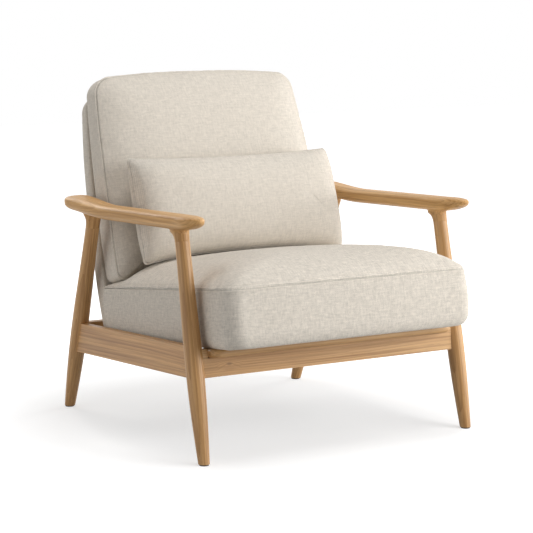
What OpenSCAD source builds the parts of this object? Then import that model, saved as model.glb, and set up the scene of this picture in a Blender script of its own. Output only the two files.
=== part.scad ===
// Lounge armchair with an oak frame, a reclined upholstered back and loose cushions.
// The chair faces -Y and stands on z = 0. Sizes are in millimetres, angles in degrees.

/* [Feet and legs] */
// Distance between the middles of the two front feet
front_feet_w = 717; // [700:1:740]
// Distance between the middles of the two rear feet
rear_feet_w = 668; // [658:1:690]
// Distance that the rear feet stand behind the foot of the back
rear_feet_out = 180.6; // [172:0.2:190]
// Lean of a front leg towards the back
front_lean = 12; // [11:0.5:13]
// Lean of a front leg towards the middle of the chair
front_splay = 0.7; // [0:0.1:1]
// Lean of a rear leg towards the front
rear_lean = 18.6; // [17.6:0.2:19.6]
// Lean of a rear leg away from the middle of the chair
rear_splay = 1.2; // [0.6:0.1:1.8]
// Diameter of a leg at the floor
foot_d = 25.5; // [22:0.5:30]
// Diameter of a leg at its thickest place, beside the rails
leg_d = 41; // [38:0.5:43]
// Diameter of a leg at its neck, under the arm
neck_d = 33; // [30:0.5:36]
// Height of the thickest place of a leg
leg_swell_z = 210; // [180:5:240]
// Diameter of the round tenon that enters the arm
tenon_d = 22; // [18:1:24]
// Length of the round tenon that enters the arm
tenon_l = 38; // [30:1:42]
// Thickness of the plastic glide under a foot
glide_t = 3; // [2:0.5:5]

/* [Arms] */
// Height of the top of the arm over the front leg
arm_h = 542; // [530:1:560]
// Thickness of the arm
arm_t = 34; // [30:1:38]
// Width of the arm between the legs
arm_w = 57; // [52:1:62]
// Width of the arm's paddle at the rear
paddle_w = 64; // [58:1:70]
// Reach of the arm's nose in front of the front leg's axis
arm_nose = 105; // [95:1:125]
// Distance that the nose's tip stands outside the line of the arm
nose_out = 6; // [0:0.5:8]
// Reach of the arm's paddle behind the rear leg's axis
arm_tail = 121; // [110:1:135]
// Fall of the arm towards the back
arm_fall = 2.1; // [1:0.1:3]
// Rise of the paddle above the line of the arm
paddle_rise = 13; // [4:1:18]
// Tilt of the paddle's top away from the seat
paddle_tilt = 3; // [0:0.5:8]
// Distance that the paddle's middle stands outside the rear leg's axis
paddle_out = 8; // [2:1:12]
// Height of the neck that joins a leg to the arm
neck_h = 24; // [18:1:30]
// Width that the neck gains on each side where it meets the arm
neck_flare = 5; // [3:0.5:7]
// Extra width that the neck gains towards the back
neck_sweep = 14; // [4:1:18]

/* [Rails] */
// Height of a side rail
side_rail_h = 71; // [64:1:76]
// Thickness of a side rail
side_rail_t = 18; // [16:1:20]
// Height of the side rails' middle at the front leg
side_rail_z = 222; // [216:1:228]
// Fall of the side rails towards the back
side_rail_fall = 3.4; // [2.8:0.1:4]
// Height of the front rail
front_rail_h = 63; // [58:1:68]
// Thickness of the front rail and of the rear rail
cross_rail_t = 22; // [20:1:25]
// Height of the rear rail
rear_rail_h = 66; // [60:1:70]
// Depth of a rail's tenon in its leg
rail_tenon_l = 14; // [10:1:14]
// Thickness of a rail's tenon
rail_tenon_t = 9; // [7:0.5:10]

/* [Seat support] */
// Slope of the seat, higher at the front
seat_pitch = 7; // [6:0.25:8]
// Height of the nosing's top at its front edge
nosing_z = 253; // [249:1:257]
// Depth of the seat along its slope, from the nosing's edge to the back
seat_depth = 528; // [520:1:536]
// Distance that the nosing stands in front of the front rail
nosing_over = 27; // [18:1:32]
// Depth of the nosing board, front to back
nosing_d = 78; // [66:1:90]
// Thickness of the nosing board
nosing_t = 20; // [16:1:22]
// Gap between an end of the nosing and the leg beside it
nosing_gap = 9; // [5:1:16]
// Radius of the nosing's front corners
nosing_r = 20; // [12:1:24]
// Width of a batten inside a side rail
batten_w = 18; // [14:1:24]
// Height of a batten inside a side rail
batten_h = 22; // [18:1:24]
// Number of webbing straps
strap_count = 7; // [5:1:8]
// Width of a webbing strap
strap_w = 45; // [30:1:48]
// Thickness of a webbing strap
strap_t = 2; // [1.5:0.25:3]
// Length of a corner block along each rail
corner_block = 52; // [46:1:56]
// Height of a corner block
corner_block_h = 34; // [28:1:36]

/* [Back] */
// Recline of the back from upright
recline = 17; // [16:0.25:18]
// Length of the back shell along its slope
shell_l = 632; // [610:1:650]
// Drop of the back shell below the seat's surface, along its slope
shell_drop = 24; // [14:1:30]
// Gap between a bottom corner of the back shell and the rear leg beside it
shell_gap = 14.5; // [11:0.5:24]
// Amount that the back shell narrows towards its top
shell_taper = 34; // [16:1:44]
// Thickness of the back shell at its bottom
shell_t_bottom = 44; // [40:1:48]
// Thickness of the back shell at its top
shell_t_top = 29; // [27:1:34]
// Thickness of the plywood panel inside the shell
panel_t = 12; // [9:1:13]
// Width of a mounting block between the rear rail and the shell
back_block_w = 60; // [50:1:80]
// Height of a mounting block
back_block_h = 52; // [48:1:56]
// Distance between the middles of the two mounting blocks
back_block_span = 360; // [300:5:400]
// Diameter of a back bolt
bolt_d = 8; // [6:1:8]

/* [Seat cushion] */
// Gap between the seat cushion's front seam and the leg beside it
seat_gap_front = 8.2; // [6:0.2:14]
// Gap between the seat cushion's rear seam and the side rail beside it
seat_gap_rear = 13.4; // [12:0.2:22]
// Reach of the seat cushion past the nosing's edge
seat_over = 82; // [70:1:90]
// Height of the boxing, from the cushion's bottom to its seam
seat_boxing = 131; // [126:1:136]
// Crown of the seat cushion above its seam
seat_crown = 67; // [56:1:68]
// Amount that the cushion hangs below the nosing's top, in front of it
seat_sag = 5; // [0:1:8]
// Share of the crown that is pressed down under the back cushion
seat_dip = 0.6; // [0.6:0.02:0.7]
// Radius of the seat cushion's front corners
seat_corner_r = 60; // [45:1:70]
// Radius of the seat cushion's rear corners
seat_rear_r = 26; // [20:1:40]
// Radius of the seat cushion's bottom edge
seat_edge_r = 35; // [25:1:40]
// Swell of the boxing past the seams
boxing_swell = 5; // [3:0.5:6]

/* [Back cushion and lumbar pillow] */
// Height of the back cushion's bottom corners above the seat's surface, along the slope
back_lift = 142; // [142:1:148]
// Height of the back cushion along its slope
back_h = 498; // [488:1:510]
// Distance that the back cushion's sides stand in from the shell's sides
back_inset = 3; // [0:0.5:12]
// Amount that the back cushion narrows towards its top
back_taper = 36; // [16:1:44]
// Thickness of the back cushion at its bottom, between its seams
back_t = 72; // [66:1:74]
// Thickness that the back cushion loses towards its top
back_thin = 14; // [8:1:18]
// Crown of the back cushion's front
back_crown = 34; // [28:1:38]
// Radius of the back cushion's top corners
back_corner_r = 46; // [30:1:60]
// Rise of the back cushion's bottom edge between its corners
back_arch = 40; // [38:1:44]
// Width of the lumbar pillow, corner to corner
pillow_w = 564; // [540:2:570]
// Height of the lumbar pillow, corner to corner
pillow_h = 260; // [240:1:262]
// Crown of the lumbar pillow's front
pillow_front = 66; // [50:1:68]
// Crown of the lumbar pillow's rear
pillow_rear = 62; // [36:1:62]
// Lean of the lumbar pillow from upright
pillow_lean = 18.5; // [18:0.25:19]

/* [Hidden] */
OAK = "burlywood";
PLY = "tan";
LINEN = "antiquewhite";
STEEL = "silver";
LEFT = -1;
RIGHT = 1;

// Clearances: between glued or screwed pieces, and round a soft piece
joint_gap = 0.1;
soft_gap = 0.4;

// Feet, and the place of a leg's axis at a height
front_foot = [front_feet_w / 2, 0];
function front_axis(z) = front_foot + z * [-tan(front_splay), tan(front_lean)];
function rear_axis(z) = rear_foot + z * [tan(rear_splay), -tan(rear_lean)];

// Seat plane: it passes through the nosing's top and slopes down to the back
front_rail_z = nosing_z - (nosing_over + cross_rail_t / 2) * sin(seat_pitch)
    - front_rail_h / 2 * cos(seat_pitch);
front_rail_y = front_axis(front_rail_z)[1];
nosing_y = front_rail_y - (nosing_over + cross_rail_t / 2) * cos(seat_pitch)
    + front_rail_h / 2 * sin(seat_pitch);
function seat_z(y) = nosing_z - (y - nosing_y) * tan(seat_pitch);
back_y = nosing_y + seat_depth * cos(seat_pitch);
back_z = seat_z(back_y);
rear_foot = [rear_feet_w / 2, back_y + rear_feet_out];

// Side rails run from the front leg's axis to the rear leg's axis
rail_y0 = front_axis(side_rail_z)[1];
function rail_z(y) = side_rail_z - (y - rail_y0) * tan(side_rail_fall);
rail_z1 = rail_z(rear_axis(rail_z(rear_foot[1]))[1]);
rail_y1 = rear_axis(rail_z1)[1];
rail_x0 = front_axis(side_rail_z)[0];
rail_x1 = rear_axis(rail_z1)[0];
rail_toe = atan((rail_x0 - rail_x1) / (rail_y1 - rail_y0));
function rail_inner_x(y) = rail_x0 - (y - rail_y0) * tan(rail_toe) - side_rail_t / 2 / cos(rail_toe);
rear_rail_z = rail_z1 + (side_rail_h - rear_rail_h) / 2;

// Widths of the upholstery between the legs and the rails
seat_w_front = 2 * (front_axis(nosing_z)[0] - leg_d / 2 - seat_gap_front);
seat_w_rear = 2 * (rail_inner_x(back_y) - seat_gap_rear);
shell_w = 2 * (rear_axis(back_z)[0] - leg_d / 2 - shell_gap);
back_w = shell_w - 2 * back_inset;

// Arm: its ends, and its line over the legs
arm_y0 = front_axis(arm_h)[1];
arm_y1 = rear_axis(arm_h)[1];
arm_x0 = front_axis(arm_h)[0] + 1.5;
arm_x1 = rear_axis(arm_h)[0] + paddle_out;
function ease(t) = t <= 0 ? 0 : t >= 1 ? 1 : t * t * (3 - 2 * t);
function paddle(y) = ease((y - arm_y1 + 26) / 120);
function arm_top(y) = arm_h - (y - arm_y0) * tan(arm_fall)
    + paddle_rise * paddle(y);
function arm_x(y) = arm_x0 + (arm_x1 - arm_x0) * (y - arm_y0) / (arm_y1 - arm_y0)
    + nose_out * ease((arm_y0 - 10 - y) / arm_nose);
function arm_half(y) = (arm_w + (paddle_w - arm_w) * ease((y - arm_y1 + 120) / 150)) / 2;
neck_z0 = arm_h - arm_t - neck_h;
neck_z1 = arm_top(arm_y1) - arm_t - neck_h;

// Closed solid through rings that each have as many points. The rings turn anticlockwise
// as seen from the end where the last ring lies.
module loft(rings) {
    n = len(rings[0]);
    last = (len(rings) - 1) * n;
    points = concat([for (r = rings) each r], [middle(rings[0]), middle(rings[len(rings) - 1])]);
    sides = [for (j = [0 : n : last - n]) for (i = [0 : n - 1]) let (k = (i + 1) % n)
        each [[j + i, j + n + i, j + n + k], [j + i, j + n + k, j + k]]];
    first_cap = [for (i = [0 : n - 1]) [last + n, i, (i + 1) % n]];
    last_cap = [for (i = [0 : n - 1]) [last + n + 1, last + (i + 1) % n, last + i]];
    polyhedron(points, concat(sides, first_cap, last_cap), convexity = 4);
}
function middle(ring) = [for (a = [0 : 2]) sum([for (p = ring) p[a]]) / len(ring)];
function sum(v, i = 0) = i == len(v) ? 0 : v[i] + sum(v, i + 1);

// Outline of a cushion, anticlockwise. half0 and half1 are its half widths at y0 and y1, r0 and
// r1 the corner radii there. A pull draws a side in between its corners: [y0 side, sides, y1 side].
corner_steps = 6;
side_steps = 6;
function outline(half0, half1, y0, y1, r0, r1, inset = 0, pull = [0, 0, 0]) =
    let (a0 = y0 + inset, a1 = y1 - inset, h0 = half0 - inset, h1 = half1 - inset,
         room = min(h0, h1, (a1 - a0) / 2) * 0.98,
         q0 = min(room, r0 + inset * 0.25), q1 = min(room, r1 + inset * 0.25),
         c = [[h0 - q0, a0 + q0], [h1 - q1, a1 - q1], [q1 - h1, a1 - q1], [q0 - h0, a0 + q0]],
         q = [q0, q1, q1, q0],
         draw = [pull[1], pull[2], pull[1], pull[0]],
         away = [[-1, 0], [0, -1], [1, 0], [0, 1]])
    [for (k = [0 : 3]) each concat(
        [for (s = [0 : corner_steps]) let (t = 90 * (k - 1 + s / corner_steps))
            c[k] + q[k] * [cos(t), sin(t)]],
        let (p = c[k] + q[k] * [cos(90 * k), sin(90 * k)],
             m = (k + 1) % 4,
             e = c[m] + q[m] * [cos(90 * k), sin(90 * k)])
        [for (s = [1 : side_steps - 1]) let (t = s / side_steps)
            p + (e - p) * t + away[k] * draw[k] * pow(sin(180 * t), 0.7)])];

// Rise of a crown at an inset from its seam, from 0 at the seam to 1 at reach
function crown(inset, reach, p = 4, q = 0.75) = pow(1 - pow(1 - min(inset / reach, 1), p), q);

// Frames that the pieces are built in
module seat_frame() {
    translate([0, nosing_y, nosing_z]) rotate([-seat_pitch, 0, 0]) children();
}
module back_frame() {
    translate([0, back_y, back_z]) rotate([-recline, 0, 0]) children();
}
module front_leg_frame(side) {
    translate([side * front_foot[0], front_foot[1], 0])
        rotate([-atan(tan(front_lean) * cos(front_splay)), -side * front_splay, 0]) children();
}
module rear_leg_frame(side) {
    translate([side * rear_foot[0], rear_foot[1], 0])
        rotate([atan(tan(rear_lean) * cos(rear_splay)), side * rear_splay, 0]) children();
}
module side_rail_frame(side) {
    translate([side * rail_x0, rail_y0, side_rail_z])
        rotate([0, 0, side * rail_toe]) rotate([-side_rail_fall, 0, 0]) children();
}
module front_rail_frame() {
    translate([0, front_rail_y, front_rail_z]) rotate([-seat_pitch, 0, 0]) children();
}
module rear_rail_frame() {
    translate([0, rail_y1, rear_rail_z]) children();
}

// Leg, turned about its own axis: it swells from the foot to the rails and thins to its neck
front_slant = cos(atan(tan(front_lean) * cos(front_splay))) * cos(front_splay);
rear_slant = cos(atan(tan(rear_lean) * cos(rear_splay))) * cos(rear_splay);
function leg_r(z, swell, neck) = z < swell
    ? foot_d / 2 + (leg_d - foot_d) / 2 * sin(90 * z / swell)
    : neck_d / 2 + (leg_d - neck_d) / 2 * (0.5 + 0.5 * cos(180 * (z - swell) / (neck - swell)));
leg_bands = 22;
module leg_body(swell, neck, grow = 0) {
    below = 12;
    rotate_extrude($fn = 64)
        polygon(concat([[0, -below]],
            [for (i = [0 : leg_bands]) let (z = -below + (neck + below) * i / leg_bands)
                [leg_r(z, swell, neck) + grow, z]],
            [[0, neck]]));
}
module tenoned_leg(swell, neck) {
    leg_body(swell, neck);
    translate([0, 0, neck - 1]) cylinder(d = tenon_d, h = tenon_l + 1, $fn = 48);
}
module under_floor() {
    translate([0, 0, glide_t - 50]) cube([4 * foot_d, 4 * foot_d, 100], center = true);
}
glide_pin_d = 5;
glide_pin_l = 16;
module glide(grow = 0) {
    cylinder(d = foot_d - 4, h = glide_t - joint_gap + grow, $fn = 48);
    cylinder(d = glide_pin_d + 2 * grow, h = glide_t + glide_pin_l + grow, $fn = 32);
}
module front_leg(side) {
    color(OAK) difference() {
        front_leg_frame(side) tenoned_leg(leg_swell_z / front_slant, neck_z0 / front_slant);
        translate([side * front_foot[0], front_foot[1], 0]) {
            under_floor();
            glide(joint_gap);
        }
        side_rail_tenon(side, 0, joint_gap);
        cross_tenon_front(side, joint_gap);
    }
}
module rear_leg(side) {
    color(OAK) difference() {
        rear_leg_frame(side) tenoned_leg(leg_swell_z / rear_slant, neck_z1 / rear_slant);
        translate([side * rear_foot[0], rear_foot[1], 0]) {
            under_floor();
            glide(joint_gap);
        }
        side_rail_tenon(side, 1, joint_gap);
        cross_tenon_rear(side, joint_gap);
    }
}
module legs_grown(side) {
    front_leg_frame(side) leg_body(leg_swell_z / front_slant, neck_z0 / front_slant, joint_gap);
    rear_leg_frame(side) leg_body(leg_swell_z / rear_slant, neck_z1 / rear_slant, joint_gap);
}
module foot_glides() {
    color("dimgray")
        for (side = [LEFT, RIGHT], foot = [front_foot, rear_foot])
            translate([side * foot[0], foot[1], 0]) glide();
}

// Arm: a rounded section carried from the paddle to the nose, with a swept neck over each leg
arm_steps = 30;
arm_points = 24;
function end_round(d, l) = d >= l ? 1 : sqrt(max(0, 1 - pow(1 - d / l, 2)));
function arm_ring(side, y, d_nose, d_tail) =
    let (half = arm_half(y) * min(end_round(d_nose, 60), end_round(d_tail, 50)),
         thick = arm_t * min(end_round(d_nose, 90), end_round(d_tail, 130)),
         top = arm_top(y) - 9 * (1 - end_round(d_nose, 60)) - 12 * (1 - end_round(d_tail, 34)))
    [for (i = [0 : arm_points - 1]) let (t = 360 * i / arm_points,
        c = sign(cos(t)) * pow(abs(cos(t)), 0.68), s = sign(sin(t)) * pow(abs(sin(t)), 0.68))
        [side * arm_x(y) + half * s, y,
         top - 0.42 * thick + thick * (c > 0 ? 0.42 * c : 0.58 * c)
             - side * half * s * tan(paddle_tilt) * paddle(y)]];
module arm_bar(side) {
    y0 = arm_y0 - arm_nose;
    y1 = arm_y1 + arm_tail;
    loft([for (i = [0 : arm_steps]) let (t = (1 - cos(180 * i / arm_steps)) / 2,
            u = 0.35 + (y1 - y0 - 0.7) * (0.35 * t + 0.65 * (i / arm_steps + t) / 2))
        arm_ring(side, y0 + u, u, y1 - y0 - u)]);
}
neck_steps = 6;
module neck(z) {
    inside = 0.5 * arm_t;
    r = neck_d / 2;
    loft([for (j = [0 : neck_steps + 1])
        let (h = j > neck_steps ? neck_h + inside : neck_h * j / neck_steps,
             f = 1 - sqrt(1 - pow(min(h / neck_h, 1) * 0.98, 2)),
             front = neck_flare / 3 * f,
             rear = (neck_flare + neck_sweep) * f)
        [for (i = [0 : arm_points - 1]) let (t = 360 * i / arm_points)
            [(r + neck_flare * f) * cos(t),
             (r + (front + rear) / 2) * sin(t) + (rear - front) / 2, z + h]]]);
}
module armrest(side) {
    color(OAK) difference() {
        union() {
            arm_bar(side);
            front_leg_frame(side) neck(neck_z0 / front_slant + joint_gap);
            rear_leg_frame(side) neck(neck_z1 / rear_slant + joint_gap);
        }
        front_leg_frame(side) arm_socket(neck_z0 / front_slant);
        rear_leg_frame(side) arm_socket(neck_z1 / rear_slant);
    }
}
module arm_socket(z) {
    translate([0, 0, z - 1]) cylinder(d = tenon_d + 2 * joint_gap, h = tenon_l + 1 + 2 * joint_gap, $fn = 48);
}

// Side rail: its ends are shaped to the round legs, with a tenon inside each leg
rail_l = norm([rail_x1 - rail_x0, rail_y1 - rail_y0, rail_z1 - side_rail_z]);
tenon_margin = 13;
module side_rail_tenon(side, end, grow = 0) {
    inner = leg_d / 2 - rail_tenon_l;
    outer = leg_d / 2 + 8;
    y = end == 0 ? inner : rail_l - outer;
    side_rail_frame(side)
        translate([-rail_tenon_t / 2 - grow, y - grow, -side_rail_h / 2 + tenon_margin - grow])
            cube([rail_tenon_t + 2 * grow, outer - inner + 2 * grow,
                  side_rail_h - 2 * tenon_margin + 2 * grow]);
}
module side_rail(side) {
    color(OAK) difference() {
        union() {
            difference() {
                side_rail_frame(side)
                    translate([-side_rail_t / 2, 0, -side_rail_h / 2])
                        cube([side_rail_t, rail_l, side_rail_h]);
                legs_grown(side);
            }
            side_rail_tenon(side, 0);
            side_rail_tenon(side, 1);
        }
        corner_screws_to_side(side, joint_gap);
    }
}

// Front rail and rear rail, between the legs
front_rail_half = front_axis(front_rail_z)[0];
rear_rail_half = rear_axis(rear_rail_z)[0];
nosing_half = front_axis(nosing_z)[0] - leg_d / 2 - nosing_gap;
module cross_tenon(half, h, grow) {
    outer = half - leg_d / 2 - 8;
    inner = half - leg_d / 2 + rail_tenon_l;
    translate([outer - grow, -rail_tenon_t / 2 - grow, -h / 2 + tenon_margin - grow])
        cube([inner - outer + 2 * grow, rail_tenon_t + 2 * grow, h - 2 * tenon_margin - nosing_t / 2 + 2 * grow]);
}
module cross_tenon_front(side, grow = 0) {
    front_rail_frame() mirror([side == LEFT ? 1 : 0, 0, 0])
        cross_tenon(front_rail_half, front_rail_h, grow);
}
module cross_tenon_rear(side, grow = 0) {
    rear_rail_frame() mirror([side == LEFT ? 1 : 0, 0, 0])
        cross_tenon(rear_rail_half, rear_rail_h, grow);
}
module front_rail() {
    rebate = nosing_half + 2 * joint_gap;
    color(OAK) difference() {
        union() {
            difference() {
                front_rail_frame()
                    cube([2 * front_rail_half - 0.7 * leg_d, cross_rail_t, front_rail_h], center = true);
                legs_grown(LEFT);
                legs_grown(RIGHT);
            }
            cross_tenon_front(LEFT);
            cross_tenon_front(RIGHT);
        }
        front_rail_frame()
            translate([-rebate, -cross_rail_t, front_rail_h / 2 - nosing_t - joint_gap])
                cube([2 * rebate, 2 * cross_rail_t, 2 * nosing_t]);
        corner_screws_to_cross(0, joint_gap);
    }
}
module rear_rail() {
    color(OAK) difference() {
        union() {
            difference() {
                rear_rail_frame()
                    cube([2 * rear_rail_half - 0.7 * leg_d, cross_rail_t, rear_rail_h], center = true);
                legs_grown(LEFT);
                legs_grown(RIGHT);
            }
            cross_tenon_rear(LEFT);
            cross_tenon_rear(RIGHT);
        }
        corner_screws_to_cross(1, joint_gap);
        all_back_bolts(joint_gap);
    }
}

// Nosing: a board with round front corners, let into the top of the front rail
module seat_nosing() {
    color(OAK) seat_frame() translate([0, 0, -nosing_t]) linear_extrude(nosing_t) {
        translate([-nosing_half, nosing_r]) square([2 * nosing_half, nosing_d - nosing_r]);
        translate([nosing_r - nosing_half, 0]) square([2 * (nosing_half - nosing_r), nosing_r + 1]);
        for (side = [LEFT, RIGHT])
            translate([side * (nosing_half - nosing_r), nosing_r]) circle(nosing_r, $fn = 64);
    }
}

// Battens along the side rails carry the webbing; their tops follow the seat's slope
batten_y0 = front_rail_y + cross_rail_t / 2 + corner_block + 6;
batten_y1 = rail_y1 - cross_rail_t / 2 - corner_block - 6;
module seat_batten(side) {
    top0 = seat_z(batten_y0) - (strap_t + joint_gap) / cos(seat_pitch);
    top1 = seat_z(batten_y1) - (strap_t + joint_gap) / cos(seat_pitch);
    color(PLY) translate([side * rail_x0, rail_y0, 0]) rotate([0, 0, side * rail_toe])
        translate([side > 0 ? -side_rail_t / 2 - joint_gap - batten_w : side_rail_t / 2 + joint_gap, 0, 0])
            rotate([90, 0, 90]) linear_extrude(batten_w)
                polygon([[batten_y0 - rail_y0, top0 - batten_h], [batten_y1 - rail_y0, top1 - batten_h],
                         [batten_y1 - rail_y0, top1], [batten_y0 - rail_y0, top0]]);
}
module webbing_straps() {
    first = (batten_y0 - nosing_y) / cos(seat_pitch) + 4;
    last = seat_depth - strap_w - 10;
    color("dimgray") seat_frame()
        for (i = [0 : strap_count - 1]) {
            y = first + (last - first) * i / (strap_count - 1);
            half = rail_inner_x(nosing_y + (y + strap_w) * cos(seat_pitch)) - 1;
            translate([-half, y, -strap_t]) cube([2 * half, strap_w, strap_t]);
        }
}

// Corner blocks behind the front rail and before the rear rail, each held by two screws.
// Place of a block: origin in the corner, +X towards the middle, +Y along the side rail.
front_corner_z = seat_z(front_rail_y + cross_rail_t / 2) - nosing_t - corner_block_h / 2 - 5;
module corner_frame(side, end) {
    y = end == 0 ? front_rail_y + cross_rail_t / 2 : rail_y1 - cross_rail_t / 2;
    z = end == 0 ? front_corner_z : rear_rail_z;
    if (end == 0)
        front_rail_frame() translate([side * rail_inner_x(y), cross_rail_t / 2,
            (front_corner_z - front_rail_z) / cos(seat_pitch)]) mirror([side > 0 ? 1 : 0, 0, 0]) children();
    else
        translate([side * rail_inner_x(y), y, z]) mirror([side > 0 ? 1 : 0, 0, 0]) mirror([0, 1, 0]) children();
}
corner_chamfer = 0.47 * leg_d;
screw_d = 4;
screw_head_d = 8;
screw_head_t = 3;
screw_seat = 9;
screw_l = 18;
screw_at = corner_block * 0.64;
function corner_x(y, end) = joint_gap + (end == 0 ? 1 : -1) * y * tan(rail_toe);
module corner_block_at(side, end) {
    far = corner_block;
    corner_frame(side, end) difference() {
        translate([0, 0, -corner_block_h / 2]) linear_extrude(corner_block_h)
            polygon([[corner_x(corner_chamfer, end), corner_chamfer], [corner_chamfer, joint_gap],
                     [far, joint_gap], [far, 8], [corner_x(far, end) + 8, far], [corner_x(far, end), far]]);
        screw_to_side(joint_gap);
        screw_to_cross(joint_gap);
    }
}
module screw(grow = 0) {
    head = grow > 0 ? 40 : screw_head_t;
    translate([0, 0, -screw_l]) cylinder(d = screw_d + 2 * grow, h = screw_l + 1, $fn = 24);
    translate([0, 0, 0]) cylinder(d = screw_head_d + 2 * grow, h = head, $fn = 32);
}
module screw_to_side(grow = 0) {
    translate([screw_seat + (grow > 0 ? -joint_gap : 0), screw_at, 0]) rotate([0, 90, 0]) screw(grow);
}
module screw_to_cross(grow = 0) {
    translate([screw_at, screw_seat + (grow > 0 ? -joint_gap : 0), 0]) rotate([-90, 0, 0]) screw(grow);
}
module corner_screws_to_side(side, grow) {
    for (end = [0, 1]) corner_frame(side, end) screw_to_side(grow);
}
module corner_screws_to_cross(end, grow) {
    for (side = [LEFT, RIGHT]) corner_frame(side, end) screw_to_cross(grow);
}
module corner_blocks() {
    color(PLY) for (side = [LEFT, RIGHT], end = [0, 1]) corner_block_at(side, end);
}
module corner_screws() {
    color(STEEL) for (side = [LEFT, RIGHT], end = [0, 1])
        corner_frame(side, end) {
            screw_to_side();
            screw_to_cross();
        }
}

// Back shell: an upholstered panel, thicker at its bottom, with a plywood panel inside
shell_top_r = 44;
shell_bottom_r = 26;
shell_cut = (shell_t_bottom - shell_t_top) / shell_l;
function shell_t(z) = shell_t_bottom - shell_cut * (z + shell_drop);
function shell_outline(inset) = outline(shell_w / 2, (shell_w - shell_taper) / 2, -shell_drop,
    shell_l - shell_drop, shell_bottom_r, shell_top_r, inset, [0, -12, -6]);
function shell_ring(depth, inset, bulge = 0) = [for (p = reversed(shell_outline(inset)))
    [p[0], depth * shell_t(p[1]) + bulge * ease((p[1] - 120) / 200), p[1]]];
shell_rings = [shell_ring(0, 60), shell_ring(0, 9), shell_ring(0.06, 3), shell_ring(0.22, 0),
    shell_ring(0.5, -1), shell_ring(0.78, 0), shell_ring(0.94, 3), shell_ring(1, 9),
    shell_ring(1, 40, 3), shell_ring(1, 110, 5), shell_ring(1, 200, 6)];
function reversed(v) = [for (i = [len(v) - 1 : -1 : 0]) v[i]];
panel_y = 8;
panel_inset = 14;
module panel_plate(grow = 0) {
    translate([0, panel_y + panel_t + grow, 0]) rotate([90, 0, 0])
        linear_extrude(panel_t + 2 * grow) polygon(shell_outline(panel_inset - grow));
}
module back_panel() {
    color(PLY) difference() {
        back_frame() panel_plate();
        all_back_bolts(joint_gap);
    }
}
module back_shell() {
    color(LINEN) difference() {
        back_frame() loft(shell_rings);
        back_frame() panel_plate(joint_gap);
        all_back_bolts(joint_gap);
    }
}

// Mounting blocks fill the wedge between the rear rail and the shell; bolts go through both
block_z0 = rear_rail_z - back_block_h / 2;
block_z1 = rear_rail_z + back_block_h / 2;
function shell_rear_y(z) =
    let (s = sin(recline), c = cos(recline),
         up = (z - back_z + s * (shell_t_bottom - shell_cut * shell_drop)) / (c + s * shell_cut))
    back_y + shell_t(up) * c + up * s;
module back_mounting_blocks() {
    rear = rail_y1 - cross_rail_t / 2 - joint_gap;
    gap = soft_gap / cos(recline);
    color(PLY) difference() {
        for (side = [LEFT, RIGHT])
            translate([side * back_block_span / 2 - back_block_w / 2, 0, 0])
                rotate([90, 0, 90]) linear_extrude(back_block_w)
                    polygon([[shell_rear_y(block_z0) + gap, block_z0], [rear, block_z0],
                             [rear, block_z1], [shell_rear_y(block_z1) + gap, block_z1]]);
        all_back_bolts(joint_gap);
    }
}
bolt_head_d = 2 * bolt_d;
bolt_head_t = 4;
bolt_spread = 15;
module back_bolt(z, grow) {
    seat = rail_y1 + cross_rail_t / 2;
    tip = back_y + (z - back_z) * tan(recline) + (panel_y + panel_t * 0.35) / cos(recline);
    translate([0, seat + joint_gap, z]) rotate([90, 0, 0]) {
        cylinder(d = bolt_d + 2 * grow, h = seat - tip + grow, $fn = 32);
        translate([0, 0, -bolt_head_t]) cylinder(d = bolt_head_d, h = bolt_head_t, $fn = 48);
    }
}
module all_back_bolts(grow = 0) {
    for (side = [LEFT, RIGHT], up = [-1, 1])
        translate([side * back_block_span / 2, 0, 0]) back_bolt(rear_rail_z + up * bolt_spread, grow);
}
module back_bolts() {
    color(STEEL) all_back_bolts();
}

// Seat cushion: boxed sides that swell between their seams, and a high crown
seat_lean = recline - seat_pitch - 0.5;
seat_back_gap = 3;
function seat_outline(z, inset) = outline(seat_w_front / 2, seat_w_rear / 2, -seat_over,
    seat_depth - seat_back_gap + z * tan(seat_lean) - (inset < 0 ? -0.7 * inset : 0),
    seat_corner_r, seat_rear_r, inset, [1.5, 1.5, 1]);
function edge_round(z, r) = z < r ? r - sqrt(pow(r, 2) - pow(r - z, 2)) : 0;
function seat_side(z) = edge_round(z, seat_edge_r) - boxing_swell * sin(180 * z / seat_boxing);
function seat_hang(y, z) = seat_sag * ease((-y - 22) / 25) * (1 - min(z / 70, 1));
seat_heights = [0, 3, 10, 20, 35, 60, 85, 108, 123, 131] / 131;
seat_insets = [5, 14, 28, 48, 76, 112, 156, 208, 258];
seat_half_depth = (seat_depth + seat_over) / 2;
dip_reach = 140;
dip_run = 110;
seat_rings = concat(
    [for (d = [160, seat_over - 4, seat_over - 20]) [for (p = seat_outline(0, d))
        [p[0], p[1], soft_gap - seat_hang(p[1], 0)]]],
    [for (k = seat_heights) let (z = k * seat_boxing)
        [for (p = seat_outline(z, seat_side(z))) [p[0], p[1], max(z, soft_gap) - seat_hang(p[1], z)]]],
    [for (d = seat_insets) [for (p = seat_outline(seat_boxing, d))
        [p[0], p[1], seat_boxing + seat_crown * crown(d, seat_half_depth - 12, 5)
            * (1 - seat_dip * ease((p[1] - seat_depth + dip_reach) / dip_run))]]]);
module seat_cushion() {
    color(LINEN) difference() {
        seat_frame() loft(seat_rings);
        seat_foam_block(joint_gap);
    }
}
foam_inset = 20;
module seat_foam_block(grow = 0) {
    seat_frame() translate([0, 0, foam_inset - grow])
        linear_extrude(seat_boxing - foam_inset - 4 + 2 * grow)
            polygon(seat_outline(0, foam_inset - grow));
}
module seat_foam() {
    color("ivory") seat_foam_block();
}

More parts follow.
